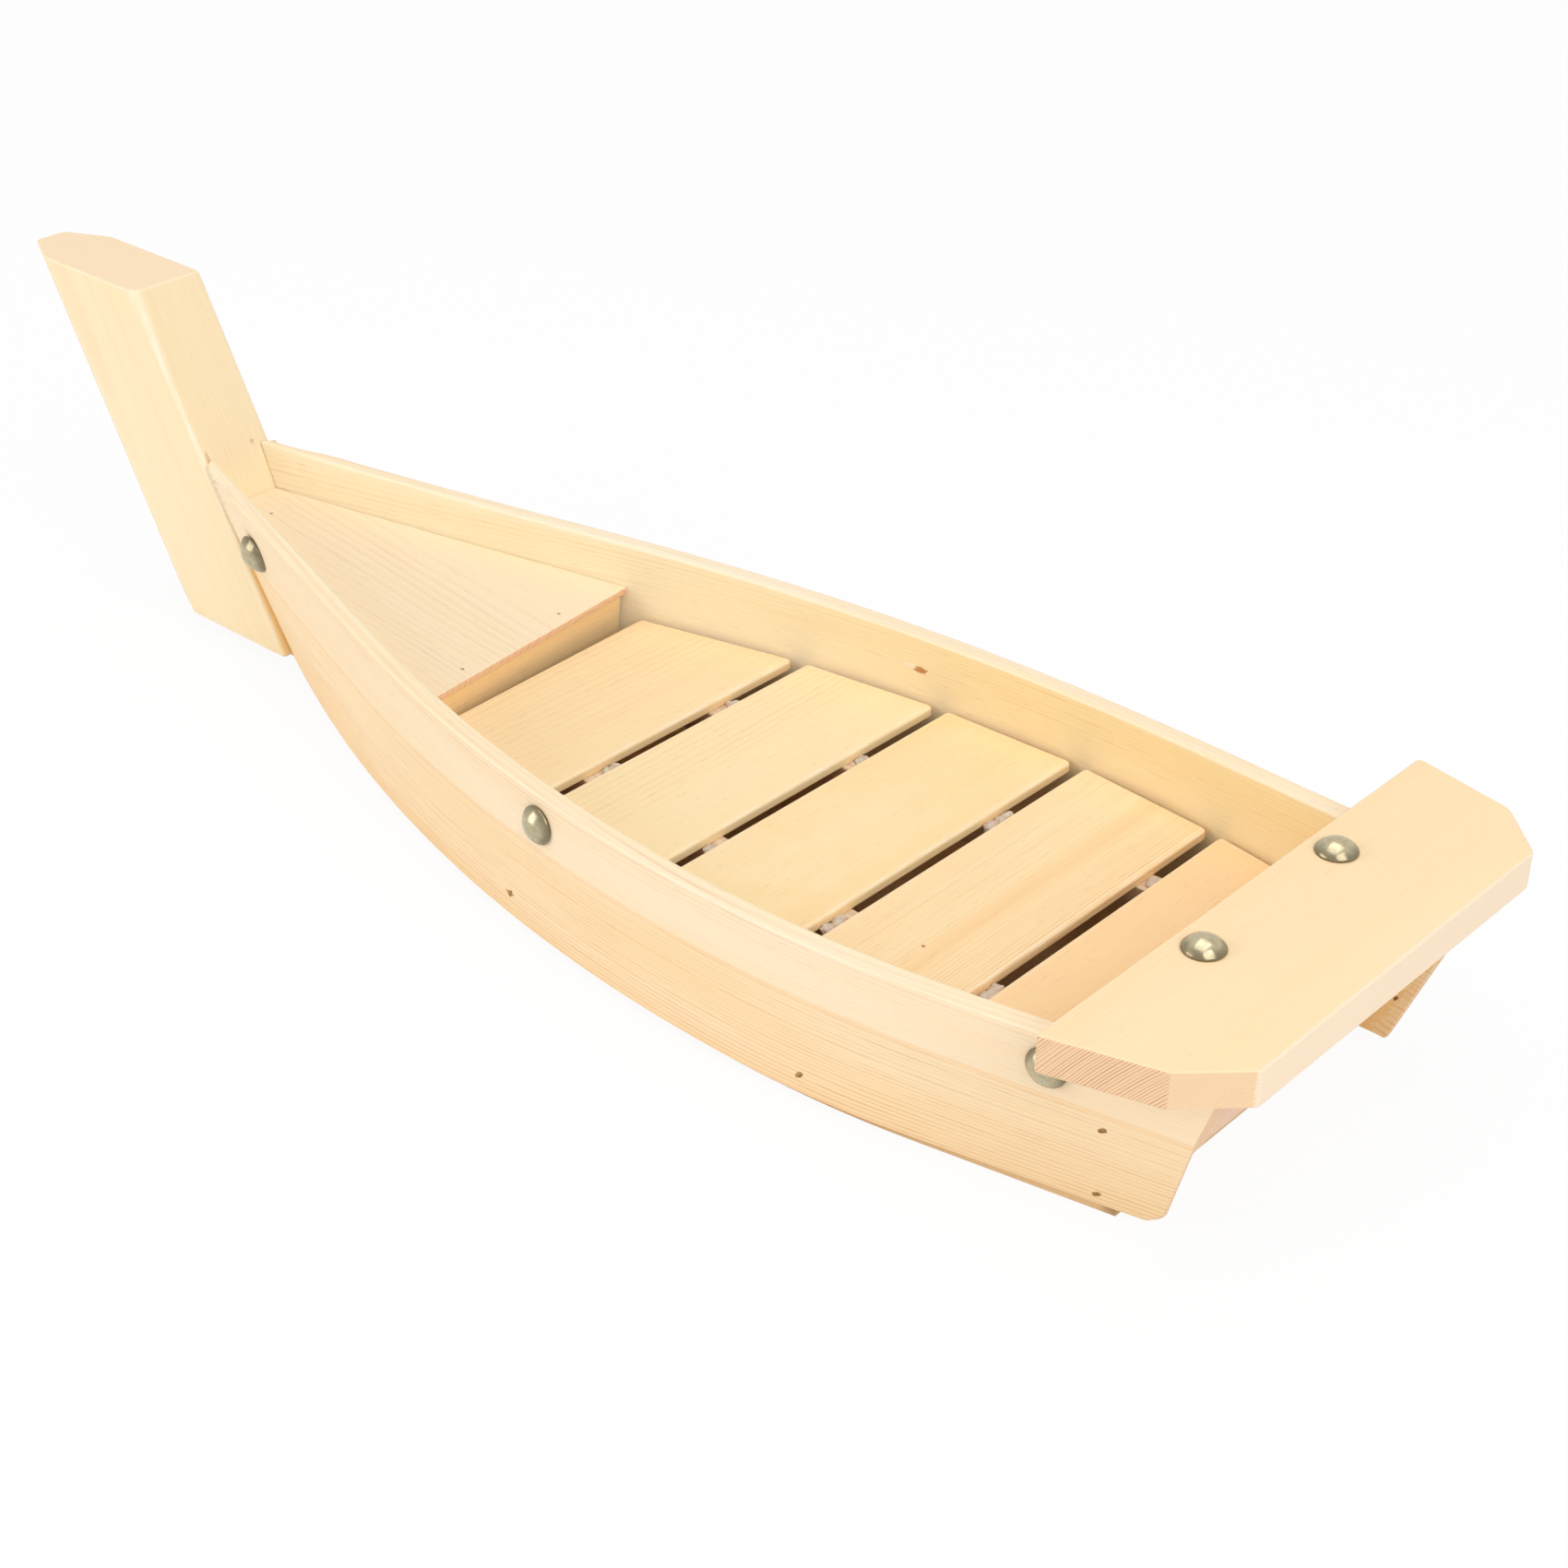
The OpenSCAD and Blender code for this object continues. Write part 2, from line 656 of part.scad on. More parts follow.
module foredeck() {
  n = 20;
  x1 = deck_front_x + 2 * deck_t;
  x0 = deck_port_x - bore_over;
  xs = [for (i = [0 : n]) x0 + (x1 - x0) * i / n];
  q = cos(deck_slope);
  m = rail_beam;
  color(wood)
    difference() {
      on_deck()
        translate([0, 0, -deck_t])
          linear_extrude(deck_t)
            intersection() {
              polygon(concat(
                [for (x = xs) [(x - deck_rear_x) / q, deck_in_y(x)]],
                [for (i = [n : -1 : 0]) [(xs[i] - deck_rear_x) / q, -deck_in_y(xs[i])]]
              ));
              polygon([
                [-m * tan(deck_skew), m],
                [m * tan(deck_skew), -m],
                [3 * m, -m],
                [3 * m, m]
              ]);
            }
      ahead_of_stem(fit_gap);
      deck_brads(bore_over);
    }
}

// The beam lies along the foredeck's rear edge, as far out of square as the edge is
module deck_beam() {
  skew = tan(deck_skew);
  d = deck_beam_w / cos(deck_skew);
  x1 = deck_beam_x + d + deck_in_y(deck_rear_x) * skew;
  low = deck_z(deck_beam_x) - deck_t - deck_beam_h;
  y = narrow(deck_beam_x, x1, low, deck_z(x1) - deck_t) - deck_beam_gap;
  color(wood_dark)
    difference() {
      on_deck()
        translate([deck_beam_back, 0, -deck_t - deck_beam_h])
          linear_extrude(deck_beam_h)
            polygon([[-y * skew, y], [y * skew, -y], [d + y * skew, -y], [d - y * skew, y]]);
      deck_brads(bore_over);
    }
}

// Bearer across the hull, on the bottom board, with its ends cut to the planks' flare
module bearer(x) {
  lo = narrow(x - bearer_w / 2, x + bearer_w / 2, foot_z, foot_z) - fit_gap;
  hi = narrow(x - bearer_w / 2, x + bearer_w / 2, bearer_top_z, bearer_top_z) - fit_gap;
  difference() {
    translate([x - bearer_w / 2, 0, 0])
      rotate([90, 0, 90])
        linear_extrude(bearer_w)
          polygon([[-lo, foot_z], [lo, foot_z], [hi, bearer_top_z], [-hi, bearer_top_z]]);
    both_sides()
      plank_brads(bore_over);
  }
}

module front_bearer() {
  color(wood_dark)
    bearer(tail_foot_x + front_bearer_x);
}

module rear_bearer() {
  color(wood_dark)
    bearer(tail_foot_x + rear_bearer_x);
}

// Section of a slat, w wide, with rounded corners
module slat_section(w) {
  r = slat_edge_r;
  translate([r, 0])
    square([w - 2 * r, slat_t]);
  translate([0, r])
    square([w, slat_t - 2 * r]);
  for (x = [r, w - r]) for (y = [r, slat_t - r])
    translate([x, y])
      circle(r = r);
}

// Slat i, counted from the bow, with its ends cut along the planks
module slat(i) {
  x0 = slat_rear(i);
  x1 = slat_front(i);
  color(wood)
    intersection() {
      translate([x0, rail_beam, slat_z])
        rotate([90, 0, 0])
          linear_extrude(2 * rail_beam)
            slat_section(x1 - x0);
      translate([0, 0, slat_z - bore_over])
        linear_extrude(slat_t + 2 * bore_over)
          polygon([
            [x0 - bore_over, -well_y(x0)],
            [x1 + bore_over, -well_y(x1)],
            [x1 + bore_over, well_y(x1)],
            [x0 - bore_over, well_y(x0)]
          ]);
    }
}

module slat_1() { slat(0); }
module slat_2() { slat(1); }
module slat_3() { slat(2); }
module slat_4() { slat(3); }
module slat_5() { slat(4); }

module batten() {
  l = (batten_front_x - batten_rear_x) / cos(batten_turn);
  color(wood_dark)
    translate([batten_front_x, batten_front_y, batten_z])
      rotate([0, 0, 180 - batten_turn])
        translate([0, -batten_w / 2, 0])
          cube([l, batten_w, batten_h]);
}

module port_batten() { batten(); }
module starboard_batten() { mirror([0, 1, 0]) batten(); }

// Beads of glue on the battens, in the gaps between the slats
module glue_beads() {
  r = (bead_d * bead_d / 4 + bead_h * bead_h) / (2 * bead_h);
  color(glue)
    for (i = [0 : 3]) for (side = [-1, 1])
      let (x = slat_rear(i) - slat_gap / 2)
      translate([x, side * batten_y(x), slat_z])
        intersection() {
          translate([0, 0, bead_h - r])
            sphere(r = r);
          translate([-r, -r, 0])
            cube(2 * r);
        }
}

// Domed nail standing on Z = 0
module dome_nail(shank_l) {
  r = (dome_d * dome_d / 4 + dome_h * dome_h) / (2 * dome_h);
  intersection() {
    translate([0, 0, dome_h - r])
      sphere(r = r);
    translate([-r, -r, 0])
      cube(2 * r);
  }
  translate([0, 0, -shank_l])
    cylinder(d = dome_shank_d, h = shank_l + dome_h / 2);
}

module dome_nails() {
  color(nail_metal) {
    both_sides()
      for (s = plank_dome_s)
        translate(spot(dome_x(s), dome_z(s)))
          point_along(facing(dome_x(s), dome_z(s)))
            translate([0, 0, dome_lift])
              dome_nail(side_shank_l);
    both_sides()
      translate([board_dome_x, board_dome_y, board_top_z])
        dome_nail(board_shank_l);
  }
}

module wire_brads() {
  color(steel_dark) {
    both_sides()
      plank_brads(brad_proud);
    deck_brads(brad_proud);
  }
}

bow_post();
bow_block();
port_plank();
starboard_plank();
bottom_board();
transom();
tail_beam();
stern_board();
foredeck();
deck_beam();
front_bearer();
rear_bearer();
slat_1();
slat_2();
slat_3();
slat_4();
slat_5();
port_batten();
starboard_batten();
glue_beads();
dome_nails();
wire_brads();
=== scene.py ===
import math
import random

import bmesh
import bpy
from mathutils import Matrix, Vector
from mathutils import noise as lattice


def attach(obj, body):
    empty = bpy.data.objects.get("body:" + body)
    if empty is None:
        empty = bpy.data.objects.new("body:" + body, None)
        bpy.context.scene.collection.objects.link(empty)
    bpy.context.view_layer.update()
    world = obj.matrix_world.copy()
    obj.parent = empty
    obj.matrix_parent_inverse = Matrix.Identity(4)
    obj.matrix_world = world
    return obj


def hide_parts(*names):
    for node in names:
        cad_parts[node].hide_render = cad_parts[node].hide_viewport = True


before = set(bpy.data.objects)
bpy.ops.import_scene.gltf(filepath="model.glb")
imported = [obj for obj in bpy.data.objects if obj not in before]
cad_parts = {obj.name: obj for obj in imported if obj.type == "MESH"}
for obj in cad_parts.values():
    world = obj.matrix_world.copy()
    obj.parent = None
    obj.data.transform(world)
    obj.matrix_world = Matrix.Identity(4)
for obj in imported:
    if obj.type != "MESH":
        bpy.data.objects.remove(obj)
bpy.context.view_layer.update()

# Sizes of the boat in millimetres, the same as the solids have
FOOT_L, FOOT_Z, PLANK_T, BOW_T, FOOT_T = 356, 2.8, 6, 4, 3.6
WIDE_AT = 121 / FOOT_L
TAIL_RAKE, STARBOARD_TAIL_R, STEM_RAKE = math.radians(18.5), 1.5, math.radians(29.7)
RAIL_Z, RAIL_BOW_RISE, RAIL_TAIL_RISE = 50.2, 10.4, 6
KNUCKLE_Z, KNUCKLE_TAIL_RISE, TAIL_BEND = 34, 4.2, 0.46
FOOT_EDGE = (141.4, 102, 18.4, 0.98)
KNUCKLE_EDGE = (147.8, 119.8, 23, 0.66)
RAIL_EDGE = (147.6, 122, 27, 0.6)
BOTTOM_INSET, BOTTOM_TAIL_INSET, BOTTOM_TAIL_GAP, BOTTOM_FLUSH_L = 2.8, 1, 11.5, 90
BOTTOM_UNDER_POST, BOTTOM_FRONT_W = 12, 8
POST_W, POST_D, NOSE_W, NOSE_L, POST_TOP_Z, POST_FOOT_R, BLOCK_L = 25.6, 51, 10.8, 13, 108.5, 12, 26
POST_FOOT_Z = FOOT_Z + 1.5
BOARD_T, BOARD_D, BOARD_SEAT_Z = 10.2, 44, 54.8
BOARD_FRONT_W, BOARD_MID_W, BOARD_REAR_W, BOARD_CORNER_D, BOARD_OVERHANG = 162.8, 148, 119.4, 14.6, 8
BOARD_CUT_SHIFT = 1.2
TRANSOM_T, TRANSOM_X, TRANSOM_RAKE, TAIL_BEAM_D, TAIL_BEAM_DROP = 9, 16, math.radians(9), 11, 3
DECK_T, DECK_BOW_Z, DECK_REAR_Z, DECK_FROM_WIDE, DECK_SKEW = 2.4, 48, 39.8, 141, math.radians(5)
DECK_BEAM_W, DECK_BEAM_H, DECK_BEAM_BACK, DECK_BEAM_GAP = 8, 16, 0.6, 1
SLAT_TOP_Z, SLAT_T, FIRST_SLAT_W, SLAT_GAP, SLAT_EDGE_R, SLAT_END_GAP = 31.3, 3, 46.5, 4.6, 1, 1
FLOOR_GAP, BATTEN_W, BATTEN_H, BATTEN_FRONT_Y, BATTEN_REAR_Y, BATTEN_END = 1, 8, 8, 22.5, 37.5, 5
BEARER_W, REAR_BEARER_X, FRONT_BEARER_X, SEAT_GAP, FIT_GAP = 12, 95, 203, 0.2, 0.15
DOME_D, DOME_H, DOME_SHANK_D, SIDE_SHANK_L, BOARD_SHANK_L, DOME_LIFT = 11, 3.6, 1.8, 3.8, 15, 0.2
DOME_OVER_KNUCKLE, BOARD_DOME_Y, BOARD_DOME_BACK = 8.2, 28.4, 8.4
SLATS = 5
MM = 0.001

# Steps in working out the shapes, and the fineness of rounded corners
SLANT_STEP = 0.01
EASE_STEPS, ARC_STEPS, ARC_LEAST, TURN_LEAST = 3, 3, 0.25, 0.3

TAIL_SLOPE, STEM_SLOPE = math.tan(TAIL_RAKE), math.tan(STEM_RAKE)
DECK_SKEW_SLOPE = math.tan(DECK_SKEW)
NOSE_FROM_TAIL = FOOT_L + (POST_TOP_Z - FOOT_Z) * STEM_SLOPE + POST_D / math.cos(STEM_RAKE)
BOARD_REAR_FROM_TAIL = -(BOARD_SEAT_Z - FOOT_Z) * TAIL_SLOPE - BOARD_OVERHANG
TAIL_FOOT_X = -(NOSE_FROM_TAIL + BOARD_REAR_FROM_TAIL) / 2
STEM_FOOT_X = TAIL_FOOT_X + FOOT_L
BOARD_REAR_X = TAIL_FOOT_X + BOARD_REAR_FROM_TAIL
BOARD_FRONT_X = BOARD_REAR_X + BOARD_D
BOARD_TOP_Z = BOARD_SEAT_Z + BOARD_T


def mix(a, b, q):
    return a + (b - a) * q


def tail_x(z):
    return TAIL_FOOT_X - (z - FOOT_Z) * TAIL_SLOPE


def stem_x(z):
    return STEM_FOOT_X + (z - FOOT_Z) * STEM_SLOPE


def along(s, z):
    return mix(tail_x(z), stem_x(z), s)


def share(x, z):
    return (x - tail_x(z)) / (stem_x(z) - tail_x(z))


def arc_line(u, b):
    return u * u / (2 * b - b * b) if u < b else (2 * b * u - b * b) / (2 * b - b * b)


def aft(s):
    return max(0.0, (WIDE_AT - s) / WIDE_AT)


def fwd(s):
    return max(0.0, (s - WIDE_AT) / (1 - WIDE_AT))


def bent(s, e):
    return (
        e[0] / 2
        - (e[0] - e[1]) / 2 * arc_line(aft(s), TAIL_BEND)
        - (e[0] - e[2]) / 2 * arc_line(fwd(s), e[3])
    )


def knuckle_h(s):
    return KNUCKLE_Z + KNUCKLE_TAIL_RISE * aft(s) ** 2


def rail_h(s):
    h = RAIL_Z + RAIL_BOW_RISE * fwd(s) ** 2 + RAIL_TAIL_RISE * aft(s) ** 2
    return min(BOARD_SEAT_Z, h) if s < WIDE_AT else h


def inside(s, e, t):
    slant = (bent(s + SLANT_STEP, e) - bent(s - SLANT_STEP, e)) / (2 * SLANT_STEP) / FOOT_L
    return bent(s, e) - t * math.sqrt(1 + slant * slant)


def section(s):
    """The six corners of a plank's section: foot, knuckle and rail outside, then inside."""
    k, r = knuckle_h(s), rail_h(s)
    wall = mix(PLANK_T, BOW_T, fwd(s) ** 2)
    return [
        (bent(s, FOOT_EDGE), FOOT_Z),
        (bent(s, KNUCKLE_EDGE), k),
        (bent(s, RAIL_EDGE), r),
        (inside(s, RAIL_EDGE, wall), r),
        (inside(s, KNUCKLE_EDGE, wall), k),
        (inside(s, FOOT_EDGE, FOOT_T), FOOT_Z),
    ]


def face_y(x, z, foot, knuckle, rail):
    s = share(x, z)
    c = section(s)
    k, r = c[1][1], c[2][1]
    if z < k:
        return mix(c[foot][0], c[knuckle][0], (z - FOOT_Z) / (k - FOOT_Z))
    return mix(c[knuckle][0], c[rail][0], (z - k) / (r - k))


def out_y(x, z):
    return face_y(x, z, 0, 1, 2)


def in_y(x, z):
    return face_y(x, z, 5, 4, 3)


def narrow(xs, zs):
    return min(in_y(x, z) for x in xs for z in zs)


# Places that several pieces share
DECK_REAR_X = along(WIDE_AT, DECK_REAR_Z) + DECK_FROM_WIDE
DECK_FRONT_X = stem_x(DECK_BOW_Z)
DECK_SLOPE = math.atan((DECK_BOW_Z - DECK_REAR_Z) / (DECK_FRONT_X - DECK_REAR_X))


def deck_z(x):
    return DECK_REAR_Z + (x - DECK_REAR_X) * math.tan(DECK_SLOPE)


def deck_in_y(x):
    return min(in_y(x, deck_z(x)), in_y(x, deck_z(x) - DECK_T)) - FIT_GAP


DECK_PORT_X = DECK_REAR_X - deck_in_y(DECK_REAR_X) * DECK_SKEW_SLOPE
SLAT_Z = SLAT_TOP_Z - SLAT_T
FLOOR_FRONT_X = DECK_PORT_X - FLOOR_GAP
FLOOR_REAR_X = BOARD_FRONT_X + FLOOR_GAP
SLAT_W = (FLOOR_FRONT_X - FLOOR_REAR_X - FIRST_SLAT_W - (SLATS - 1) * SLAT_GAP) / (SLATS - 1)


def slat_front(i):
    if i == 0:
        return FLOOR_FRONT_X
    return FLOOR_FRONT_X - FIRST_SLAT_W - SLAT_GAP - (i - 1) * (SLAT_W + SLAT_GAP)


def slat_rear(i):
    return slat_front(i) - (FIRST_SLAT_W if i == 0 else SLAT_W)


def well_y(x):
    zs = (SLAT_Z, SLAT_TOP_Z, knuckle_h(share(x, SLAT_TOP_Z)), RAIL_Z)
    return narrow([x], zs) - SLAT_END_GAP


BATTEN_Z = SLAT_Z - BATTEN_H
BATTEN_FRONT_X = FLOOR_FRONT_X - BATTEN_END
BATTEN_REAR_X = FLOOR_REAR_X + BATTEN_END
BATTEN_SLOPE = (BATTEN_REAR_Y - BATTEN_FRONT_Y) / (BATTEN_FRONT_X - BATTEN_REAR_X)
BEARER_TOP_Z = BATTEN_Z - SEAT_GAP


def bottom_y(x):
    if x < STEM_FOOT_X:
        flush = min(1, (x - (TAIL_FOOT_X + BOTTOM_TAIL_GAP)) / BOTTOM_FLUSH_L)
        return bent(share(x, FOOT_Z), FOOT_EDGE) - mix(BOTTOM_TAIL_INSET, BOTTOM_INSET, flush)
    q = (x - STEM_FOOT_X) / BOTTOM_UNDER_POST
    return mix(bent(1, FOOT_EDGE) - BOTTOM_INSET, BOTTOM_FRONT_W / 2, q)


def transom_mid_x(z):
    return TAIL_FOOT_X + TRANSOM_X - (z - FOOT_Z) * math.tan(TRANSOM_RAKE)


# Mesh making: closed loops of points, lofted, with eased edges


def rounded(corners, radii, splits):
    """A loop through corners, each eased to its radius. Gives (point, is it on an arc) pairs."""
    n = len(corners)
    arcs = []
    for i in range(n):
        p = Vector(corners[i])
        u = (Vector(corners[i - 1]) - p).normalized()
        v = (Vector(corners[(i + 1) % n]) - p).normalized()
        half = math.acos(max(-1, min(1, u.dot(v)))) / 2
        if radii[i] <= 0:
            arcs.append([(p, 0.0)])
            continue
        t = max(radii[i] / math.tan(half), ARC_LEAST * radii[i])
        a, b = p + u * t, p + v * t
        arc = []
        for step in range(ARC_STEPS + 1):
            q = step / ARC_STEPS
            point = a * (1 - q) ** 2 + p * (2 * q * (1 - q)) + b * q ** 2
            arc.append((point, 1.0 if 0 < step < ARC_STEPS else 0.0))
        arcs.append(arc)
    loop = []
    for i in range(n):
        loop += arcs[i]
        a, b = arcs[i][-1][0], arcs[(i + 1) % n][0][0]
        loop += [(a.lerp(b, q / splits[i]), 0.0) for q in range(1, splits[i])]
    return loop


def inset(points, depths):
    """Move each point of a counter-clockwise loop inwards by its depth."""
    n = len(points)
    moved = []
    for i, p in enumerate(points):
        a = (p - points[i - 1]).normalized()
        b = (points[(i + 1) % n] - p).normalized()
        m = Vector((-a.y - b.y, a.x + b.x))
        scale = max(TURN_LEAST, m.length_squared / 2)
        moved.append(p + m * (depths[i] / scale))
    return moved


def anticlockwise(corners):
    area = sum(a[0] * b[1] - b[0] * a[1] for a, b in zip(corners, corners[1:] + corners[:1]))
    return corners if area > 0 else corners[::-1]


def bridge(bm, left, right):
    """Close an end between two chains of points that both run upwards."""
    i = j = 0
    while i < len(left) - 1 or j < len(right) - 1:
        rest = i < len(left) - 1 and left[i + 1].co.z <= right[min(j + 1, len(right) - 1)].co.z
        if rest or j == len(right) - 1:
            bm.faces.new((left[i], left[i + 1], right[j]))
            i += 1
        else:
            bm.faces.new((left[i], right[j + 1], right[j]))
            j += 1


def close_rows(bm, rows):
    """Faces between rings of points, each of the same count."""
    for a, b in zip(rows, rows[1:]):
        for j in range(len(a)):
            k = (j + 1) % len(a)
            bm.faces.new((a[j], a[k], b[k], b[j]))


def solid(name, rings, flags, outer=0):
    """A closed mesh through rings of 3-D points, in millimetres.

    outer counts the points of a plank's outer face, whose ends are closed in strips.
    """
    bm = bmesh.new()
    edge = bm.verts.layers.float.new("eased")
    rows = []
    for ring, flag in zip(rings, flags):
        row = []
        for p, f in zip(ring, flag):
            v = bm.verts.new(Vector(p) * MM)
            v[edge] = f
            row.append(v)
        rows.append(row)
    close_rows(bm, rows)
    for row in (rows[0], rows[-1]):
        if outer:
            bridge(bm, row[:outer], row[:outer - 1:-1])
        else:
            bm.faces.new(row)
    bmesh.ops.recalc_face_normals(bm, faces=bm.faces)
    return finish_mesh(name, bm)


def linked(name, data):
    thing = bpy.data.objects.new(name, data)
    bpy.context.scene.collection.objects.link(thing)
    return thing


def finish_mesh(name, bm):
    mesh = bpy.data.meshes.new(name)
    bm.to_mesh(mesh)
    bm.free()
    for p in mesh.polygons:
        p.use_smooth = True
    piece = linked(name, mesh)
    m = piece.modifiers.new("even_normals", "WEIGHTED_NORMAL")
    m.mode = "FACE_AREA"
    m.weight = 100
    return piece


def ease_rings(r):
    """(inset, depth, on the arc) from the flat end face to the full section."""
    steps = []
    for q in range(EASE_STEPS + 1):
        a = math.pi / 2 * q / EASE_STEPS
        steps.append((r * (1 - math.sin(a)), r * (1 - math.cos(a)), 0 < q < EASE_STEPS))
    return steps


def plain(x, y, z):
    """The boat's own coordinates, unchanged."""
    return (x, y, z)


def slab(name, corners, radii, low, high, place, ease):
    """A board: an outline in its own plane, extruded, with every edge eased.

    ease is one size, or one for the lower and one for the upper edges.
    """
    if not isinstance(radii, (list, tuple)):
        radii = [radii] * len(corners)
    turned = anticlockwise(list(corners))
    if turned[0] != corners[0]:
        radii = list(radii)[::-1]
    loop = rounded(turned, radii, [1] * len(turned))
    points, arcs = [p for p, _ in loop], [f for _, f in loop]
    under, over = ease if isinstance(ease, tuple) else (ease, ease)
    levels = [(d, low + c, f) for d, c, f in ease_rings(under)]
    levels += [(d, high - c, f) for d, c, f in ease_rings(over)[::-1]]
    rings, flags = [], []
    for d, c, f in levels:
        rings.append([place(p.x, p.y, c) for p in inset(points, [d] * len(points))])
        flags.append([max(a, float(f)) for a in arcs])
    return solid(name, rings, flags)


def give_grain(piece, grain):
    """Board coordinates for the wood's figure: along, across and through, in millimetres."""
    layer = piece.data.attributes.new("grain", "FLOAT_VECTOR", "POINT")
    for v, d in zip(piece.data.vertices, layer.data):
        d.vector = grain(*(v.co / MM))


def dress(piece, node, body, material, grain=None):
    if grain:
        give_grain(piece, grain)
    piece.data.materials.append(material)
    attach(piece, body)
    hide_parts(node)


# Materials


class Nodes:
    """Short names for the nodes of a new material, or of a tree that is there already."""

    def __init__(self, name, tree=None):
        if tree is None:
            self.material = bpy.data.materials.new(name)
            self.material.use_nodes = True
            tree = self.material.node_tree
        self.tree = tree
        self.tree.nodes.clear()

    def add(self, kind, **settings):
        node = self.tree.nodes.new(kind)
        for key, value in settings.items():
            setattr(node, key, value)
        return node

    def put(self, socket, value):
        if isinstance(value, bpy.types.NodeSocket):
            self.tree.links.new(value, socket)
        elif value is not None:
            if socket.type == "RGBA" and len(value) == 3:
                value = (*value, 1)
            socket.default_value = value

    def made(self, kind, inputs, out=0, **settings):
        node = self.add(kind, **settings)
        for key, value in inputs.items():
            self.put(node.inputs[key], value)
        return node.outputs[out]

    def math(self, op, a, b=None):
        return self.made("ShaderNodeMath", {0: a, 1: b}, operation=op)

    def times(self, first, *others):
        for other in others:
            first = self.math("MULTIPLY", first, other)
        return first

    def minus(self, a, b):
        return self.math("SUBTRACT", a, b)

    def vec(self, *xyz):
        return self.made("ShaderNodeCombineXYZ", dict(enumerate(xyz)))

    def measure(self, op, a, b=None):
        return self.made("ShaderNodeVectorMath", {0: a, 1: b}, "Value", operation=op)

    def noise(self, vector, scale=1.0, detail=2.0, rough=0.5, twist=0.0):
        return self.made("ShaderNodeTexNoise", {"Vector": vector, "Scale": scale, "Detail": detail,
                                                "Roughness": rough, "Distortion": twist}, "Fac")

    def white(self, w):
        return self.made("ShaderNodeTexWhiteNoise", {"W": w}, "Value", noise_dimensions="1D")

    def span(self, value, a, b, lo=0.0, hi=1.0, smooth=True):
        ends = {"Value": value, "From Min": a, "From Max": b, "To Min": lo, "To Max": hi}
        how = "SMOOTHSTEP" if smooth else "LINEAR"
        return self.made("ShaderNodeMapRange", ends, "Result", interpolation_type=how)

    def blend(self, fac, a, b, how="MIX"):
        node = self.add("ShaderNodeMix", data_type="RGBA", blend_type=how)
        self.put(node.inputs["Factor"], fac)
        for letter, value in (("A", a), ("B", b)):
            self.put(next(s for s in node.inputs if s.name == letter and s.type == "RGBA"), value)
        return next(s for s in node.outputs if s.type == "RGBA")

    def ramp(self, value, stops):
        node = self.add("ShaderNodeValToRGB")
        spots = node.color_ramp.elements
        while len(spots) < len(stops):
            spots.new(0.5)
        for spot, (at, colour) in zip(spots, stops):
            spot.position = at
            spot.color = (*colour, 1) if hasattr(colour, "__len__") else (colour, colour, colour, 1)
        self.put(node.inputs["Fac"], value)
        return node.outputs["Color"]

    def bump(self, height, distance, strength):
        ends = {"Height": height, "Distance": distance, "Strength": strength}
        return self.made("ShaderNodeBump", ends, "Normal")

    def read(self, name):
        return self.add("ShaderNodeAttribute", attribute_type="GEOMETRY", attribute_name=name)

    def place(self):
        return self.add("ShaderNodeTexCoord").outputs["Object"]

    def surface(self, **sockets):
        named = {key.replace("_", " "): value for key, value in sockets.items()}
        self.show("ShaderNodeOutputMaterial", self.made("ShaderNodeBsdfPrincipled", named))
        return self.material

    def show(self, kind, shader):
        self.put(self.add(kind).inputs["Surface"], shader)


PALE = (0.97, 0.785, 0.51)
WARM = (0.96, 0.715, 0.41)
LATE = (0.78, 0.45, 0.20)
LATE_SOFT = (0.88, 0.56, 0.27)
END = (0.90, 0.62, 0.43)
END_LATE = (0.62, 0.30, 0.17)
FLECK = (0.50, 0.25, 0.11)
WORN_AND_HIGHLIGHT = (0.98, 0.87, 0.67)
LIGHT = (1.0, 1.0, 1.0)
FORE_INSIDE = (1.0, 1.06, 1.1)

# Noise in the wood, as its scale along the board and its scale across
DRIFT, PATCHES, BROKEN, RUBBED_AND_LIT = (0.007, 0.03), (0.012, 0.07), (0.045, 1.3), (0.15, 1.0)
FIBRE, PORE, TONE, FLAME = (0.06, 2.6), (0.16, 2.1), (0.006, 0.06), (0.055, 0.05)
SEED_L, SLOW_SCALE, SLOW_SEED = 137.0, 0.16, 3.1
SWAY_THROUGH = 0.4

# How dark a ring is, from its early wood to its late wood
RING = [(0.0, 0.0), (0.4, 0.04), (0.7, 0.45), (0.87, 1.0), (1.0, 0.0)]
RING_LEAST = 0.4
END_POWER = 1.4

# Distances on the planks: the height of the tints' last stop, and fades along the board from the stem, for the
# inner face's painted shade and for its paler fore part
TINT_TOP = RAIL_Z + 6
INNER_FADE, FORE_FADE = (40, 340), (90, 260)
# Painted shade at a plank's stem end, where its rounded end turns into the post's shade: an orange fade and a
# darker line at the very end, each as its fade from the end and its colour, full below the knuckle
STEM_PAINTED_SHADE = (((11.0, 2.5), (0.97, 0.62, 0.27)), ((1.2, 0.3), (0.85, 0.52, 0.24)))
STEM_SHADE_FROM, STEM_SHADE_FULL = KNUCKLE_Z + 1, KNUCKLE_Z - 4

SPOT_DEPTH, SPOT_SCALE, SPOT_BLUR = 2.5, 1.3, 1.2
WOOD_SPECULAR, WOOD_BUMP_M, WOOD_BUMP = 0.3, 0.00012, 0.6


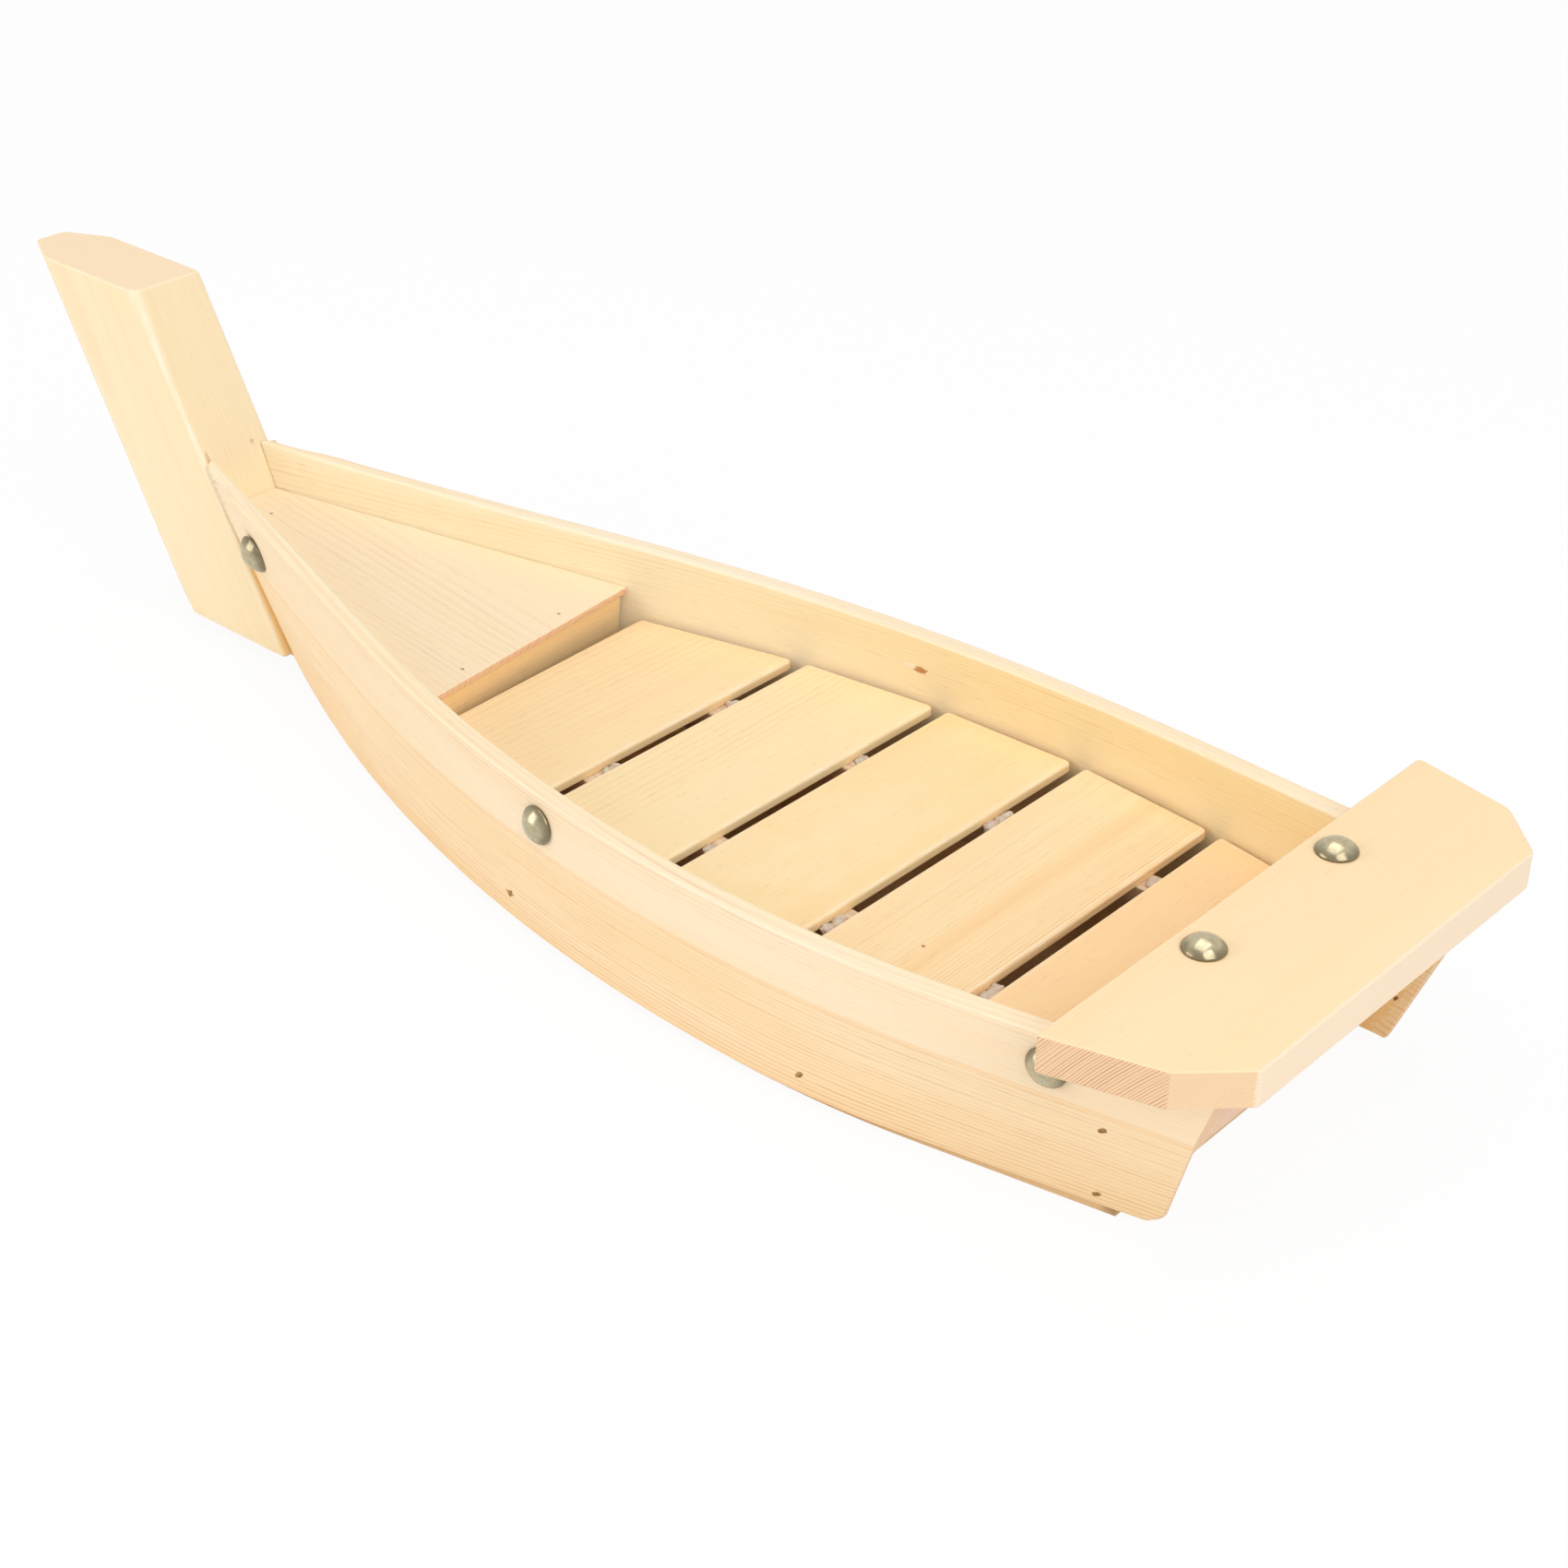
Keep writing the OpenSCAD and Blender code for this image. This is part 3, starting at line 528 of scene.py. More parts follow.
def wood(name, axis, pith, spacing, pale=PALE, warm=WARM, late=LATE, lines=0.45, wave=2.0, uneven=1.5,
         zone=None, inner_zone=None, figure=0.0, flecks=0.25, end=END, end_late=END_LATE, end_lines=0.6,
         spots=(), outer=None, inner=None, stem_shade=0.0, broad=0.5, wear_and_highlight=0.6, gaps=0.4, seed=0.0):
    """Softwood cut from a log whose heart lies at pith, in board coordinates.

    zone and inner_zone are the lines' strength across the board's faces, outer and inner tint the
    faces (on the planks partly painted shade), and a spot is its place, its radii and its colour.
    """
    t = Nodes(name)
    parts = t.add("ShaderNodeSeparateXYZ")
    t.put(parts.inputs[0], t.read("grain").outputs["Vector"])
    run, across, through = parts.outputs
    shift = t.math("ADD", run, seed * SEED_L)

    def drawn(lengthwise, sideways, **more):
        """Noise that is drawn out along the board."""
        return t.noise(t.vec(t.times(shift, lengthwise), t.times(across, sideways), t.times(through, sideways)),
                       **more)

    def banded(stops, wide):
        """A ramp across the board, with its stops in millimetres."""
        return t.ramp(t.math("DIVIDE", across, wide), [(w / wide, c) for w, c in stops])

    # Growth rings about the heart, wavering along the board
    sway = t.times(t.minus(drawn(*DRIFT, detail=1.0), 0.5), wave * 2)
    dw = t.minus(t.math("ADD", across, sway), pith[0])
    dt = t.minus(t.math("ADD", through, t.times(sway, SWAY_THROUGH)), pith[1])
    radius = t.math("SQRT", t.math("ADD", t.times(dw, dw), t.times(dt, dt)))
    slow = t.noise(t.vec(t.times(radius, SLOW_SCALE), seed * SLOW_SEED))
    phase = t.math("DIVIDE", t.math("ADD", radius, t.times(slow, uneven * 2)), spacing)
    late_wood = t.ramp(t.math("FRACT", phase), RING)
    each = t.span(t.white(t.math("FLOOR", phase)), 0.0, 1.0, RING_LEAST, 1.0, smooth=False)
    patches = t.span(drawn(*PATCHES), 0.3, 0.65, 0.6, 1.0)
    broken = t.span(drawn(*BROKEN), 0.35, 0.6, 1.0 - gaps, 1.0)
    line = t.times(late_wood, each, patches, broken)
    inward = t.span(through, PLANK_T * 0.35, PLANK_T * 0.7)
    if zone:
        wide = zone[-1][0]
        strength = banded(zone, wide)
        if inner_zone:
            strength = t.blend(inward, strength, banded(inner_zone, wide))
        line = t.times(line, strength)

    # Broad changes of colour, the rings' lines, the faces' tints (partly painted shade on the planks) and the
    # pores
    spread = 0.125 / broad
    colour = t.blend(t.span(drawn(*TONE, detail=3.0), 0.5 - spread, 0.5 + spread), pale, warm)
    if figure:
        flame = t.span(drawn(*FLAME, twist=0.6), 0.4, 0.7)
        colour = t.blend(t.times(flame, figure), colour, warm)
    colour = t.blend(t.times(line, lines), colour, late)
    # On the planks the outer tint is painted shade, and the inner tint is partly the wood's colour and partly
    # painted shade that deepens towards the tail; near the stem the inside is lifted paler
    if outer:
        colour = t.blend(t.minus(1.0, inward), colour, banded(outer, TINT_TOP), "MULTIPLY")
    if inner:
        mask = t.times(inward, t.span(run, *INNER_FADE, 0.1, 1.0))
        colour = t.blend(mask, colour, banded(inner, TINT_TOP), "MULTIPLY")
        mask = t.times(inward, t.span(run, *FORE_FADE, 1.0, 0.0))
        colour = t.blend(mask, colour, FORE_INSIDE, "MULTIPLY")
    colour = t.blend(t.span(drawn(*PORE, detail=1.0), 0.66, 0.74, 0.0, flecks), colour, FLECK)

    # End grain, where the surface is cut across the fibres
    shape = t.add("ShaderNodeNewGeometry")
    square = t.math("ABSOLUTE", t.measure("DOT_PRODUCT", shape.outputs["Normal"], axis))
    cut = t.span(square, 0.55, 0.85)
    thin = t.times(t.math("POWER", late_wood, END_POWER), each, t.span(square, 0.7, 0.9, 0.25, 1.0))
    colour = t.blend(cut, colour, t.blend(t.times(thin, end_lines), end, end_late))

    # Painted shade at a plank's stem end, where it meets the post, and single spots (some of them painted light
    # or shade)
    if stem_shade:
        below = t.span(across, STEM_SHADE_FROM, STEM_SHADE_FULL)
        for fade, tint in STEM_PAINTED_SHADE:
            colour = t.blend(t.times(t.span(run, *fade, 0.0, stem_shade), below), colour, tint)
    for at, radii, tint in spots:
        radii = (*radii, SPOT_DEPTH)[:3]
        blur = t.times(t.minus(t.noise(t.vec(run, across, through), SPOT_SCALE), 0.5), SPOT_BLUR)
        away = t.vec(*(t.math("DIVIDE", t.minus(v, c), r)
                       for v, c, r in zip((run, across, through), at, radii)))
        mask = t.span(t.math("ADD", t.measure("LENGTH", away), blur), 1.15, 0.75)
        colour = t.blend(mask, colour, tint)

    # Arrises a little lighter, partly from wear and partly as a painted highlight where an eased edge catches
    # the light, and fibres a little darker or lighter
    edge_wear_and_highlight = t.span(drawn(*RUBBED_AND_LIT, scale=0.6), 0.35, 0.65, wear_and_highlight * 0.3, wear_and_highlight)
    arris = t.times(t.read("eased").outputs["Fac"], edge_wear_and_highlight, t.minus(1.0, cut))
    colour = t.blend(arris, colour, WORN_AND_HIGHLIGHT)
    fibre = drawn(*FIBRE, detail=3.0, rough=0.6)
    shade = t.span(fibre, 0.3, 0.7, 0.965, 1.015, smooth=False)
    grey = t.made("ShaderNodeCombineColor", dict.fromkeys(range(3), shade))
    colour = t.blend(1.0, colour, grey, "MULTIPLY")

    height = t.math("ADD", t.times(line, 0.5), t.times(fibre, 0.6))
    rough = t.math("ADD", t.times(fibre, 0.18), t.span(line, 0.0, 1.0, 0.52, 0.44))
    return t.surface(Base_Color=colour, Roughness=rough, Specular_IOR_Level=WOOD_SPECULAR,
                     Normal=t.bump(height, WOOD_BUMP_M, WOOD_BUMP))


X, Y = (1, 0, 0), (0, 1, 0)
STEM_AXIS = (math.sin(STEM_RAKE), 0, math.cos(STEM_RAKE))


def upright_grain(x, y, z):
    """For a cross piece: along is athwart, across is up."""
    return (y, z, x)


# The two bent planks

# Eases of the section's corners (foot, knuckle and rail outside, then rail, knuckle and foot inside), and
# the parts that each side between them is split in
PLANK_RADII, PLANK_SPLITS = (0.7, 1.8, 0.7, 0.9, 0, 0.5), (9, 7, 1, 7, 24, 1)
OUTER_POINTS = 26
KNUCKLE_REACH = 3

# Sections along a plank, as shares of its length: close ones at the tail, then even ones
CLOSE_S, CLOSE_STEPS, EVEN_FROM_S, EVEN_SHORT_S, EVEN_STEPS = 0.004, 5, 0.026, 0.008, 108
END_EASE, STEM_EASE = 0.5, 2.4

# The port tail's rounded corner, larger than the solid's, and the length over which a corner fades; the
# stem's end comes flush with the post above the knuckle
TAIL_R, CORNER_FADE = 8, 45
FLUSH_FROM, FLUSH_GAP, FLUSH_POWER, FLUSH_LOW, FLUSH_RISE = 0.95, 0.2, 1.5, 2, 6

# The tails are pared thin under the beam, to these tips on the port and starboard side
FEATHER_L, FEATHER_Z, FEATHER_STEP = 10, 35.4, 1.2
TIP_T = {1: 1.3, -1: 2.2}
GRAIN_L, GRAIN_FOLLOW = FOOT_L + 40, 0.8


def smooth(q):
    q = max(0.0, min(1.0, q))
    return q * q * (3 - 2 * q)


def tail_limit(z, side):
    """Where a tail ends at a height, with its lower corner rounded."""
    r = TAIL_R if side > 0 else STARBOARD_TAIL_R
    reach = r / math.tan((math.pi / 2 + TAIL_RAKE) / 2)
    cx, cz = TAIL_FOOT_X + reach, FOOT_Z + r
    if z < cz - r * math.sin(TAIL_RAKE):
        return cx - math.sqrt(max(0.0, r * r - (z - cz) ** 2))
    return tail_x(z)


def plank_point(s, y, z, depth, side, outside):
    """A section's point set in the hull, with the tail's corner and an end's depth."""
    x = along(s, z) + depth
    back = tail_x(z)
    moved = x + (tail_limit(z, side) - back) * max(0.0, 1 - (x - back) / CORNER_FADE)
    full = out_y(along(s, z), z)
    y += out_y(moved, z) - full
    if outside:
        near = max(0.0, (s - FLUSH_FROM) / (1 - FLUSH_FROM)) ** FLUSH_POWER
        above = smooth((z - knuckle_h(s) + FLUSH_LOW) / FLUSH_RISE)
        y -= max(0.0, full - POST_W / 2 - FLUSH_GAP) * near * above
    return (moved, side * y, z)


def pared(s, p, side):
    """A point of the inner face, moved out where a tail is pared thin under its beam."""
    gone = smooth(1 - s * FOOT_L / FEATHER_L) * smooth((FEATHER_Z - p.y) / FEATHER_STEP)
    x = along(s, p.y)
    thick = out_y(x, p.y) - in_y(x, p.y)
    return Vector((p.x + max(0.0, thick - TIP_T[side]) * gone, p.y))


def plank(name, side):
    end_s = 1 - FIT_GAP / FOOT_L
    turn = ease_rings(1)
    stations = [(0.0, c, d, f, END_EASE) for d, c, f in turn]
    stations += [(q * CLOSE_S, 0, 0, False, END_EASE) for q in range(1, CLOSE_STEPS + 1)]
    stations += [(mix(EVEN_FROM_S, end_s - EVEN_SHORT_S, i / EVEN_STEPS), 0, 0, False, END_EASE)
                 for i in range(EVEN_STEPS + 1)]
    stations += [(end_s, -c, d, f, STEM_EASE) for d, c, f in turn[::-1]]
    rings, flags = [], []
    for s, depth, shrink, eased, ease in stations:
        loop = rounded(section(s), PLANK_RADII, PLANK_SPLITS)
        outside = [i < OUTER_POINTS for i in range(len(loop))]
        points = [p if o else pared(s, p, side) for (p, _), o in zip(loop, outside)]
        sizes = [ease if o else END_EASE for o in outside]
        moved = inset(points, [shrink * e for e in sizes]) if shrink else points
        rings.append([plank_point(s, p.x, min(p.y, rail_h(s)), depth * e, side, o)
                      for p, e, o in zip(moved, sizes, outside)])
        crisp = [abs(p.y - knuckle_h(s)) < KNUCKLE_REACH for p in points]
        flags.append([0.0 if c or ease == STEM_EASE else max(f, float(eased))
                      for (_, f), c in zip(loop, crisp)])
    return solid(name, rings, flags, OUTER_POINTS)


def plank_grain(x, y, z):
    s = share(x, z)
    k, r = knuckle_h(s), rail_h(s)
    if z < k:
        level = mix(FOOT_Z, KNUCKLE_Z, (z - FOOT_Z) / (k - FOOT_Z))
    else:
        level = mix(KNUCKLE_Z, RAIL_Z, (z - k) / (r - k))
    return ((1 - s) * GRAIN_L, mix(z, level, GRAIN_FOLLOW), out_y(x, z) - abs(y))


plank_look = dict(
    axis=X, pale=(0.975, 0.83, 0.615), warm=(0.965, 0.77, 0.50), spacing=1.15, lines=1.2, wave=1.2, uneven=1.4,
    flecks=0.15, stem_shade=0.95, wear_and_highlight=0.3, gaps=0.7,
    end=(0.88, 0.60, 0.38), end_late=(0.62, 0.34, 0.17), end_lines=0.8,
    zone=[(0, 1.0), (12, 0.9), (30, 0.75), (33.6, 0.7), (34.4, 0.12), (44, 0.18), (48.5, 0.5), (56, 0.7)],
    inner_zone=[(0, 0.22), (36, 0.15), (40, 0.22), (42.5, 0.38), (48, 0.38), (50.4, 0.25), (56, 0.25)],
    # outer: painted shade, darker and more orange towards the foot, with a dark line along the knuckle
    outer=[(2.8, (1.0, 0.89, 0.74)), (9, (1.0, 0.92, 0.80)), (32.8, (1.0, 0.93, 0.82)),
           (33.6, (1.0, 0.87, 0.73)), (34.0, (1.0, 0.88, 0.76)), (34.7, (1.0, 0.97, 0.95)),
           (49.6, (1.0, 0.97, 0.95)), (51, LIGHT)],
    # inner: partly the wood's own colour, partly painted shade, orange as the inside is in shade and bounce
    # light
    inner=[(28, (1.0, 0.97, 0.80)), (36, (1.0, 0.98, 0.82)), (41, (1.0, 0.97, 0.78)),
           (44, (1.0, 0.955, 0.71)), (49, (1.0, 0.97, 0.75)), (50.6, LIGHT)],
)
NICK, KNOT, FILLER = (0.62, 0.30, 0.16), (0.55, 0.26, 0.10), (0.96, 0.84, 0.64)
# Painted shade: an orange patch on the starboard tail's inside under the stern board, and a nail hole painted
# as a dark spot for the shade in it
TAIL_SHADE, PAINTED_TAIL_HOLE, CHIP = (0.90, 0.60, 0.27), (0.22, 0.10, 0.04), (0.80, 0.55, 0.32)
port_spots = [((171.7, 10.9, 0.0), (2.2, 0.7), NICK)]
starboard_spots = [((212.4, 40.3, 6.0), (2.6, 1.0), KNOT), ((209.0, 40.6, 6.0), (2.4, 0.8), FILLER),
                   # painted shade under the stern board, and a nail hole painted dark
                   ((386.0, 17.0, 4.0), (9.0, 20.0, 2.5), TAIL_SHADE),
                   ((391.8, 13.2, 2.8), (0.6, 0.6, 2.0), PAINTED_TAIL_HOLE)]
port_wood = wood("port_plank_wood", pith=(-70, 60), seed=1.0, spots=port_spots, **plank_look)
starboard_wood = wood("starboard_plank_wood", pith=(-66, 54), seed=2.0, spots=starboard_spots, **plank_look)
dress(plank("plank_port", 1), "port_plank", "hull", port_wood, plank_grain)
dress(plank("plank_starboard", -1), "starboard_plank", "hull", starboard_wood, plank_grain)

# The bow post

POST_STEPS, POST_FOOT_EASE, POST_TOP_EASE, POST_FOOT_CLEAR = 8, 0.8, 0.5, 1.2

# The post's upright edges from the starboard rear one round the nose; the port rear one grows towards the top
POST_EDGES = (0.8, 3.5, 3.0, 3.0, 3.5)
PORT_EDGE, PORT_EDGE_TOP, PORT_EDGE_FROM, PORT_EDGE_RISE = 1.6, 4.0, 75, 34

# The top falls this much to the nose, from a place along it and from a height
NOSE_FALL, FALL_FROM_X, FALL_L, FALL_FROM_Z, FALL_H = 0.3, 10, 40, 70, 38


def bow_post():
    corners = [(0, -POST_W / 2), (POST_D - NOSE_L, -POST_W / 2), (POST_D, -NOSE_W / 2),
               (POST_D, NOSE_W / 2), (POST_D - NOSE_L, POST_W / 2), (0, POST_W / 2)]
    tip = stem_x(POST_FOOT_Z) + POST_D / math.cos(STEM_RAKE)
    cx = tip - POST_FOOT_R * math.tan((math.pi / 2 - STEM_RAKE) / 2)
    cz = POST_FOOT_Z + POST_FOOT_R
    turn_z = cz - POST_FOOT_R * math.sin(STEM_RAKE)

    def front(z):
        """How far the section reaches at a height, square to the post."""
        if z >= turn_z:
            return POST_D
        x = cx + math.sqrt(max(0.0, POST_FOOT_R ** 2 - (z - cz) ** 2))
        return (x - stem_x(z)) * math.cos(STEM_RAKE)

    foot = [mix(POST_FOOT_Z, turn_z, 1 - math.cos(math.pi / 2 * q / POST_STEPS)) for q in range(POST_STEPS + 1)]
    levels = [(POST_FOOT_Z + c, d, f) for d, c, f in ease_rings(POST_FOOT_EASE)]
    levels += [(z, 0, False) for z in foot if z > POST_FOOT_Z + POST_FOOT_CLEAR]
    levels += [(mix(turn_z, POST_TOP_Z, q / POST_STEPS), 0, False) for q in range(1, POST_STEPS)]
    levels += [(POST_TOP_Z - c, d, f) for d, c, f in ease_rings(POST_TOP_EASE)[::-1]]
    rings, flags = [], []
    for z, d, f in levels:
        lost = POST_D - front(z)
        shape = [(min(a, POST_D - lost), b) for a, b in corners]
        wide = NOSE_W / 2 + (POST_W - NOSE_W) / 2 * lost / NOSE_L
        shape[2], shape[3] = (shape[2][0], -wide), (shape[3][0], wide)
        port_edge = mix(PORT_EDGE, PORT_EDGE_TOP, smooth((z - PORT_EDGE_FROM) / PORT_EDGE_RISE))
        loop = rounded(shape, (*POST_EDGES, port_edge), [1] * len(shape))
        points = inset([p for p, _ in loop], [d] * len(loop))
        high = smooth((z - FALL_FROM_Z) / FALL_H)
        fall = [NOSE_FALL * smooth((p.x - FALL_FROM_X) / FALL_L) * high for p in points]
        rings.append([(stem_x(z - e) + p.x / math.cos(STEM_RAKE), p.y, z - e) for p, e in zip(points, fall)])
        flags.append([max(a, float(f)) for _, a in loop])
    return solid("stem_post", rings, flags)


def post_grain(x, y, z):
    a = (x - stem_x(z)) * math.cos(STEM_RAKE)
    run = (z - FOOT_Z) / math.cos(STEM_RAKE) + a * math.tan(STEM_RAKE)
    return (run, a, y)


# Painted shade: orange strips low on the post's rear face, beside the plank ends, where the post lies in shade
POST_REAR_PAINTED_SHADE = (1.0, 0.82, 0.47)
post_spots = [((17, 0, side * 12), (19, 1.2, 3), POST_REAR_PAINTED_SHADE) for side in (1, -1)]
post_spots += [((67.2, 0, 10.6), (2.2, 1.0, 0.7), CHIP), ((67.5, 0, -6.8), (0.8, 1.0, 0.8), CHIP),
               ((65.2, 0, -10.1), (1.1, 1.0, 0.8), CHIP)]
# The post's eased edges are lightened strongly, partly as wear and partly as a painted highlight along its rear
# arrises
post_wood = wood("post_wood", STEM_AXIS, (34, -60), 1.7, pale=(0.97, 0.80, 0.535), warm=(0.965, 0.775, 0.485),
                 lines=0.14, wave=2.5, uneven=2.0, flecks=0.1, end=(0.97, 0.765, 0.52),
                 end_late=(0.88, 0.60, 0.37), end_lines=0.5, broad=0.35, wear_and_highlight=0.95, seed=3.0, spots=post_spots)
dress(bow_post(), "bow_post", "hull", post_wood, post_grain)

# Boards of the hull

BLOCK_STEPS, BLOCK_END_S, BLOCK_GAP = 8, 0.995, 0.6
BOTTOM_STEPS, LEAN_STEPS, DECK_STEPS = 60, 6, 24
DECK_NOSE_GAP, DECK_GRAIN_Y, DECK_GRAIN_SKEW = 0.8, 60, 0.06
sawn = dict(warm=(0.90, 0.66, 0.40), pale=(0.95, 0.77, 0.53), flecks=0.3)


def bow_block():
    rings, flags = [], []
    s0 = share(STEM_FOOT_X - BLOCK_L, FOOT_Z)
    for i in range(BLOCK_STEPS + 1):
        s = mix(s0, BLOCK_END_S, i / BLOCK_STEPS)
        top = deck_z(along(s, DECK_REAR_Z)) - DECK_T - 2 * FIT_GAP
        half = [(in_y(along(s, z), z) - BLOCK_GAP, z) for z in (FOOT_Z, knuckle_h(s), top)]
        loop = half + [(-y, z) for y, z in half[::-1]]
        rings.append([(along(s, z), y, z) for y, z in loop])
        flags.append([0.0] * len(loop))
    return solid("bow_filler", rings, flags)


dress(bow_block(), "bow_block", "hull",
      wood("filler_wood", X, (-40, -30), 2.0, seed=4.0, **sawn), plain)


def base_board():
    rear, front = TAIL_FOOT_X + BOTTOM_TAIL_GAP, STEM_FOOT_X + BOTTOM_UNDER_POST
    port = [(x, bottom_y(x)) for x in (mix(rear, front, i / BOTTOM_STEPS) for i in range(BOTTOM_STEPS + 1))]
    return slab("base_board", port + [(x, -y) for x, y in port[::-1]], 0, 0, FOOT_Z, plain, 0.5)


bottom_wood = wood("bottom_wood", X, (30, -60), 1.6, seed=5.0, pale=(0.86, 0.60, 0.33), warm=(0.76, 0.47, 0.23),
                   lines=0.4, end=(0.80, 0.53, 0.27), end_late=(0.62, 0.36, 0.16), wear_and_highlight=0.2)
dress(base_board(), "bottom_board", "hull", bottom_wood, plain)


def leaning(name, x0, z0, t, angle, ease):
    """A board across the boat that leans aft, from z0 up to the stern board."""
    slope, d = math.tan(angle), t / math.cos(angle)
    zs = [mix(z0, BOARD_SEAT_Z, i / LEAN_STEPS) for i in range(LEAN_STEPS + 1)]
    port = [(narrow((x0 - (z - z0) * slope, x0 - (z - z0) * slope + d), [z]) - FIT_GAP, z) for z in zs]
    outline = port + [(-y, z) for y, z in port[::-1]]
    return slab(name, outline, 0, 0, d, lambda a, b, c: (x0 - (b - z0) * slope + c, a, b), ease)


transom_x = transom_mid_x(FOOT_Z) - TRANSOM_T / 2 / math.cos(TRANSOM_RAKE)
transom_wood = wood("transom_wood", Y, (20, 40), 1.3, seed=6.0, **sawn)
dress(leaning("stern_transom", transom_x, FOOT_Z, TRANSOM_T, TRANSOM_RAKE, 0.4),
      "transom", "hull", transom_wood, upright_grain)
beam_z = knuckle_h(0) - TAIL_BEAM_DROP
beam_spots = [((TAIL_FOOT_X - 11, 35.5, 54), (4, 0.8, 0.8), (0.5, 0.25, 0.1))]
beam_wood = wood("tail_beam_wood", X, (101, 283), 1.1, seed=7.0, end=(0.90, 0.63, 0.45),
                 end_late=(0.60, 0.32, 0.19), end_lines=0.9, spots=beam_spots, **sawn)
dress(leaning("tail_crosspiece", tail_x(beam_z), beam_z, TAIL_BEAM_D, TAIL_RAKE, 0.6),
      "tail_beam", "hull", beam_wood, lambda x, y, z: (x, z, y))

BOARD_EDGES = (1.5, 1.0, 3, 1.2, 3.5, 6)
board_outline = [(BOARD_D, -BOARD_FRONT_W / 2), (BOARD_D, BOARD_FRONT_W / 2)] + [
    (a, b - BOARD_CUT_SHIFT)
    for a, b in ((BOARD_CORNER_D, BOARD_MID_W / 2), (0, BOARD_REAR_W / 2),
                 (0, -BOARD_REAR_W / 2), (BOARD_CORNER_D, -BOARD_MID_W / 2))]
# Painted light: the board's rear face is painted paler, for the light it catches from the stern
board_rear_painted_light = [((0, 0, -5), (200, 0.9, 9), (0.97, 0.79, 0.585))]
board_wood = wood("stern_board_wood", Y, (-95, -114), 0.68, pale=(0.975, 0.75, 0.465), warm=(0.97, 0.73, 0.435),
                  late=(0.80, 0.53, 0.28), lines=0.4, wave=1.5, uneven=1.2, flecks=0.12,
                  zone=[(0, 0.05), (20, 0.15), (30, 0.8), (44, 1.0)], wear_and_highlight=0.15, end=(0.92, 0.62, 0.38),
                  end_late=(0.36, 0.13, 0.05), end_lines=1.0, seed=8.0, spots=board_rear_painted_light)
dress(slab("stern_plank", board_outline, BOARD_EDGES, BOARD_SEAT_Z, BOARD_TOP_Z,
           lambda a, b, c: (BOARD_REAR_X + a, b, c), 0.5),
      "stern_board", "hull", board_wood,
      lambda x, y, z: (y, x - BOARD_REAR_X, z - BOARD_TOP_Z))


def on_deck(a, b, c):
    """From the foredeck's own plane, with its top at zero, to the boat."""
    ca, sa = math.cos(DECK_SLOPE), math.sin(DECK_SLOPE)
    return (DECK_REAR_X + a * ca - c * sa, b, DECK_REAR_Z + a * sa + c * ca)


def deck_outline():
    side = []
    for i in range(DECK_STEPS + 1):
        x = mix(DECK_PORT_X, DECK_FRONT_X - DECK_NOSE_GAP, i / DECK_STEPS)
        side.append(((x - DECK_REAR_X) / math.cos(DECK_SLOPE), deck_in_y(x)))
    port = [(max(a, -b * DECK_SKEW_SLOPE), b) for a, b in side]
    starboard = [(a, -b) for a, b in side if a > b * DECK_SKEW_SLOPE]
    edge = deck_in_y(DECK_REAR_X + deck_in_y(DECK_REAR_X) * DECK_SKEW_SLOPE)
    return port + starboard[::-1] + [(edge * DECK_SKEW_SLOPE, -edge)]


def deck_grain(x, y, z):
    a = x - DECK_REAR_X
    return (a - DECK_GRAIN_SKEW * y, y + DECK_GRAIN_Y + DECK_GRAIN_SKEW * a, z - deck_z(x))


deck_wood = wood("deck_wood", X, (34, -24), 2.3, pale=(0.96, 0.78, 0.535), warm=(0.95, 0.755, 0.495),
                 late=(0.80, 0.55, 0.33), lines=0.6, wave=3.0, uneven=2.0, flecks=0.2, end=(0.90, 0.60, 0.38),
                 zone=[(0, 0.15), (40, 0.2), (58, 0.9), (120, 1.0)], seed=9.0)
dress(slab("deck_panel", deck_outline(), 0, -DECK_T, 0, on_deck, 0.45),
      "foredeck", "hull", deck_wood, deck_grain)


def deck_beam():
    """The beam under the deck's rear edge, whose rear face reaches out to the planks."""
    deep = DECK_BEAM_W / math.cos(DECK_SKEW)
    rear = DECK_REAR_X + DECK_BEAM_BACK
    front = rear + deep + deck_in_y(DECK_REAR_X) * DECK_SKEW_SLOPE
    low, top = deck_z(rear) - DECK_T - DECK_BEAM_H, deck_z(front) - DECK_T
    zs = (low, (low + top) / 2, top)
    half = narrow((rear, front), zs) - DECK_BEAM_GAP
    far = narrow([rear + half * DECK_SKEW_SLOPE], zs) - DECK_BEAM_GAP
    near = narrow([rear - half * DECK_SKEW_SLOPE], zs) - DECK_BEAM_GAP
    outline = [(DECK_BEAM_BACK + far * DECK_SKEW_SLOPE, -far),
               (DECK_BEAM_BACK + deep + half * DECK_SKEW_SLOPE, -half),
               (DECK_BEAM_BACK + deep - half * DECK_SKEW_SLOPE, half),
               (DECK_BEAM_BACK - near * DECK_SKEW_SLOPE, near)]
    return slab("deck_crosspiece", outline, 0.6, -DECK_T - DECK_BEAM_H, -DECK_T, on_deck, 0.5)


deck_beam_wood = wood("deck_beam_wood", Y, (-20, 30), 1.4, pale=(0.99, 0.75, 0.42), warm=(0.98, 0.69, 0.35),
                      seed=10.0)
dress(deck_beam(), "deck_beam", "hull", deck_beam_wood, upright_grain)


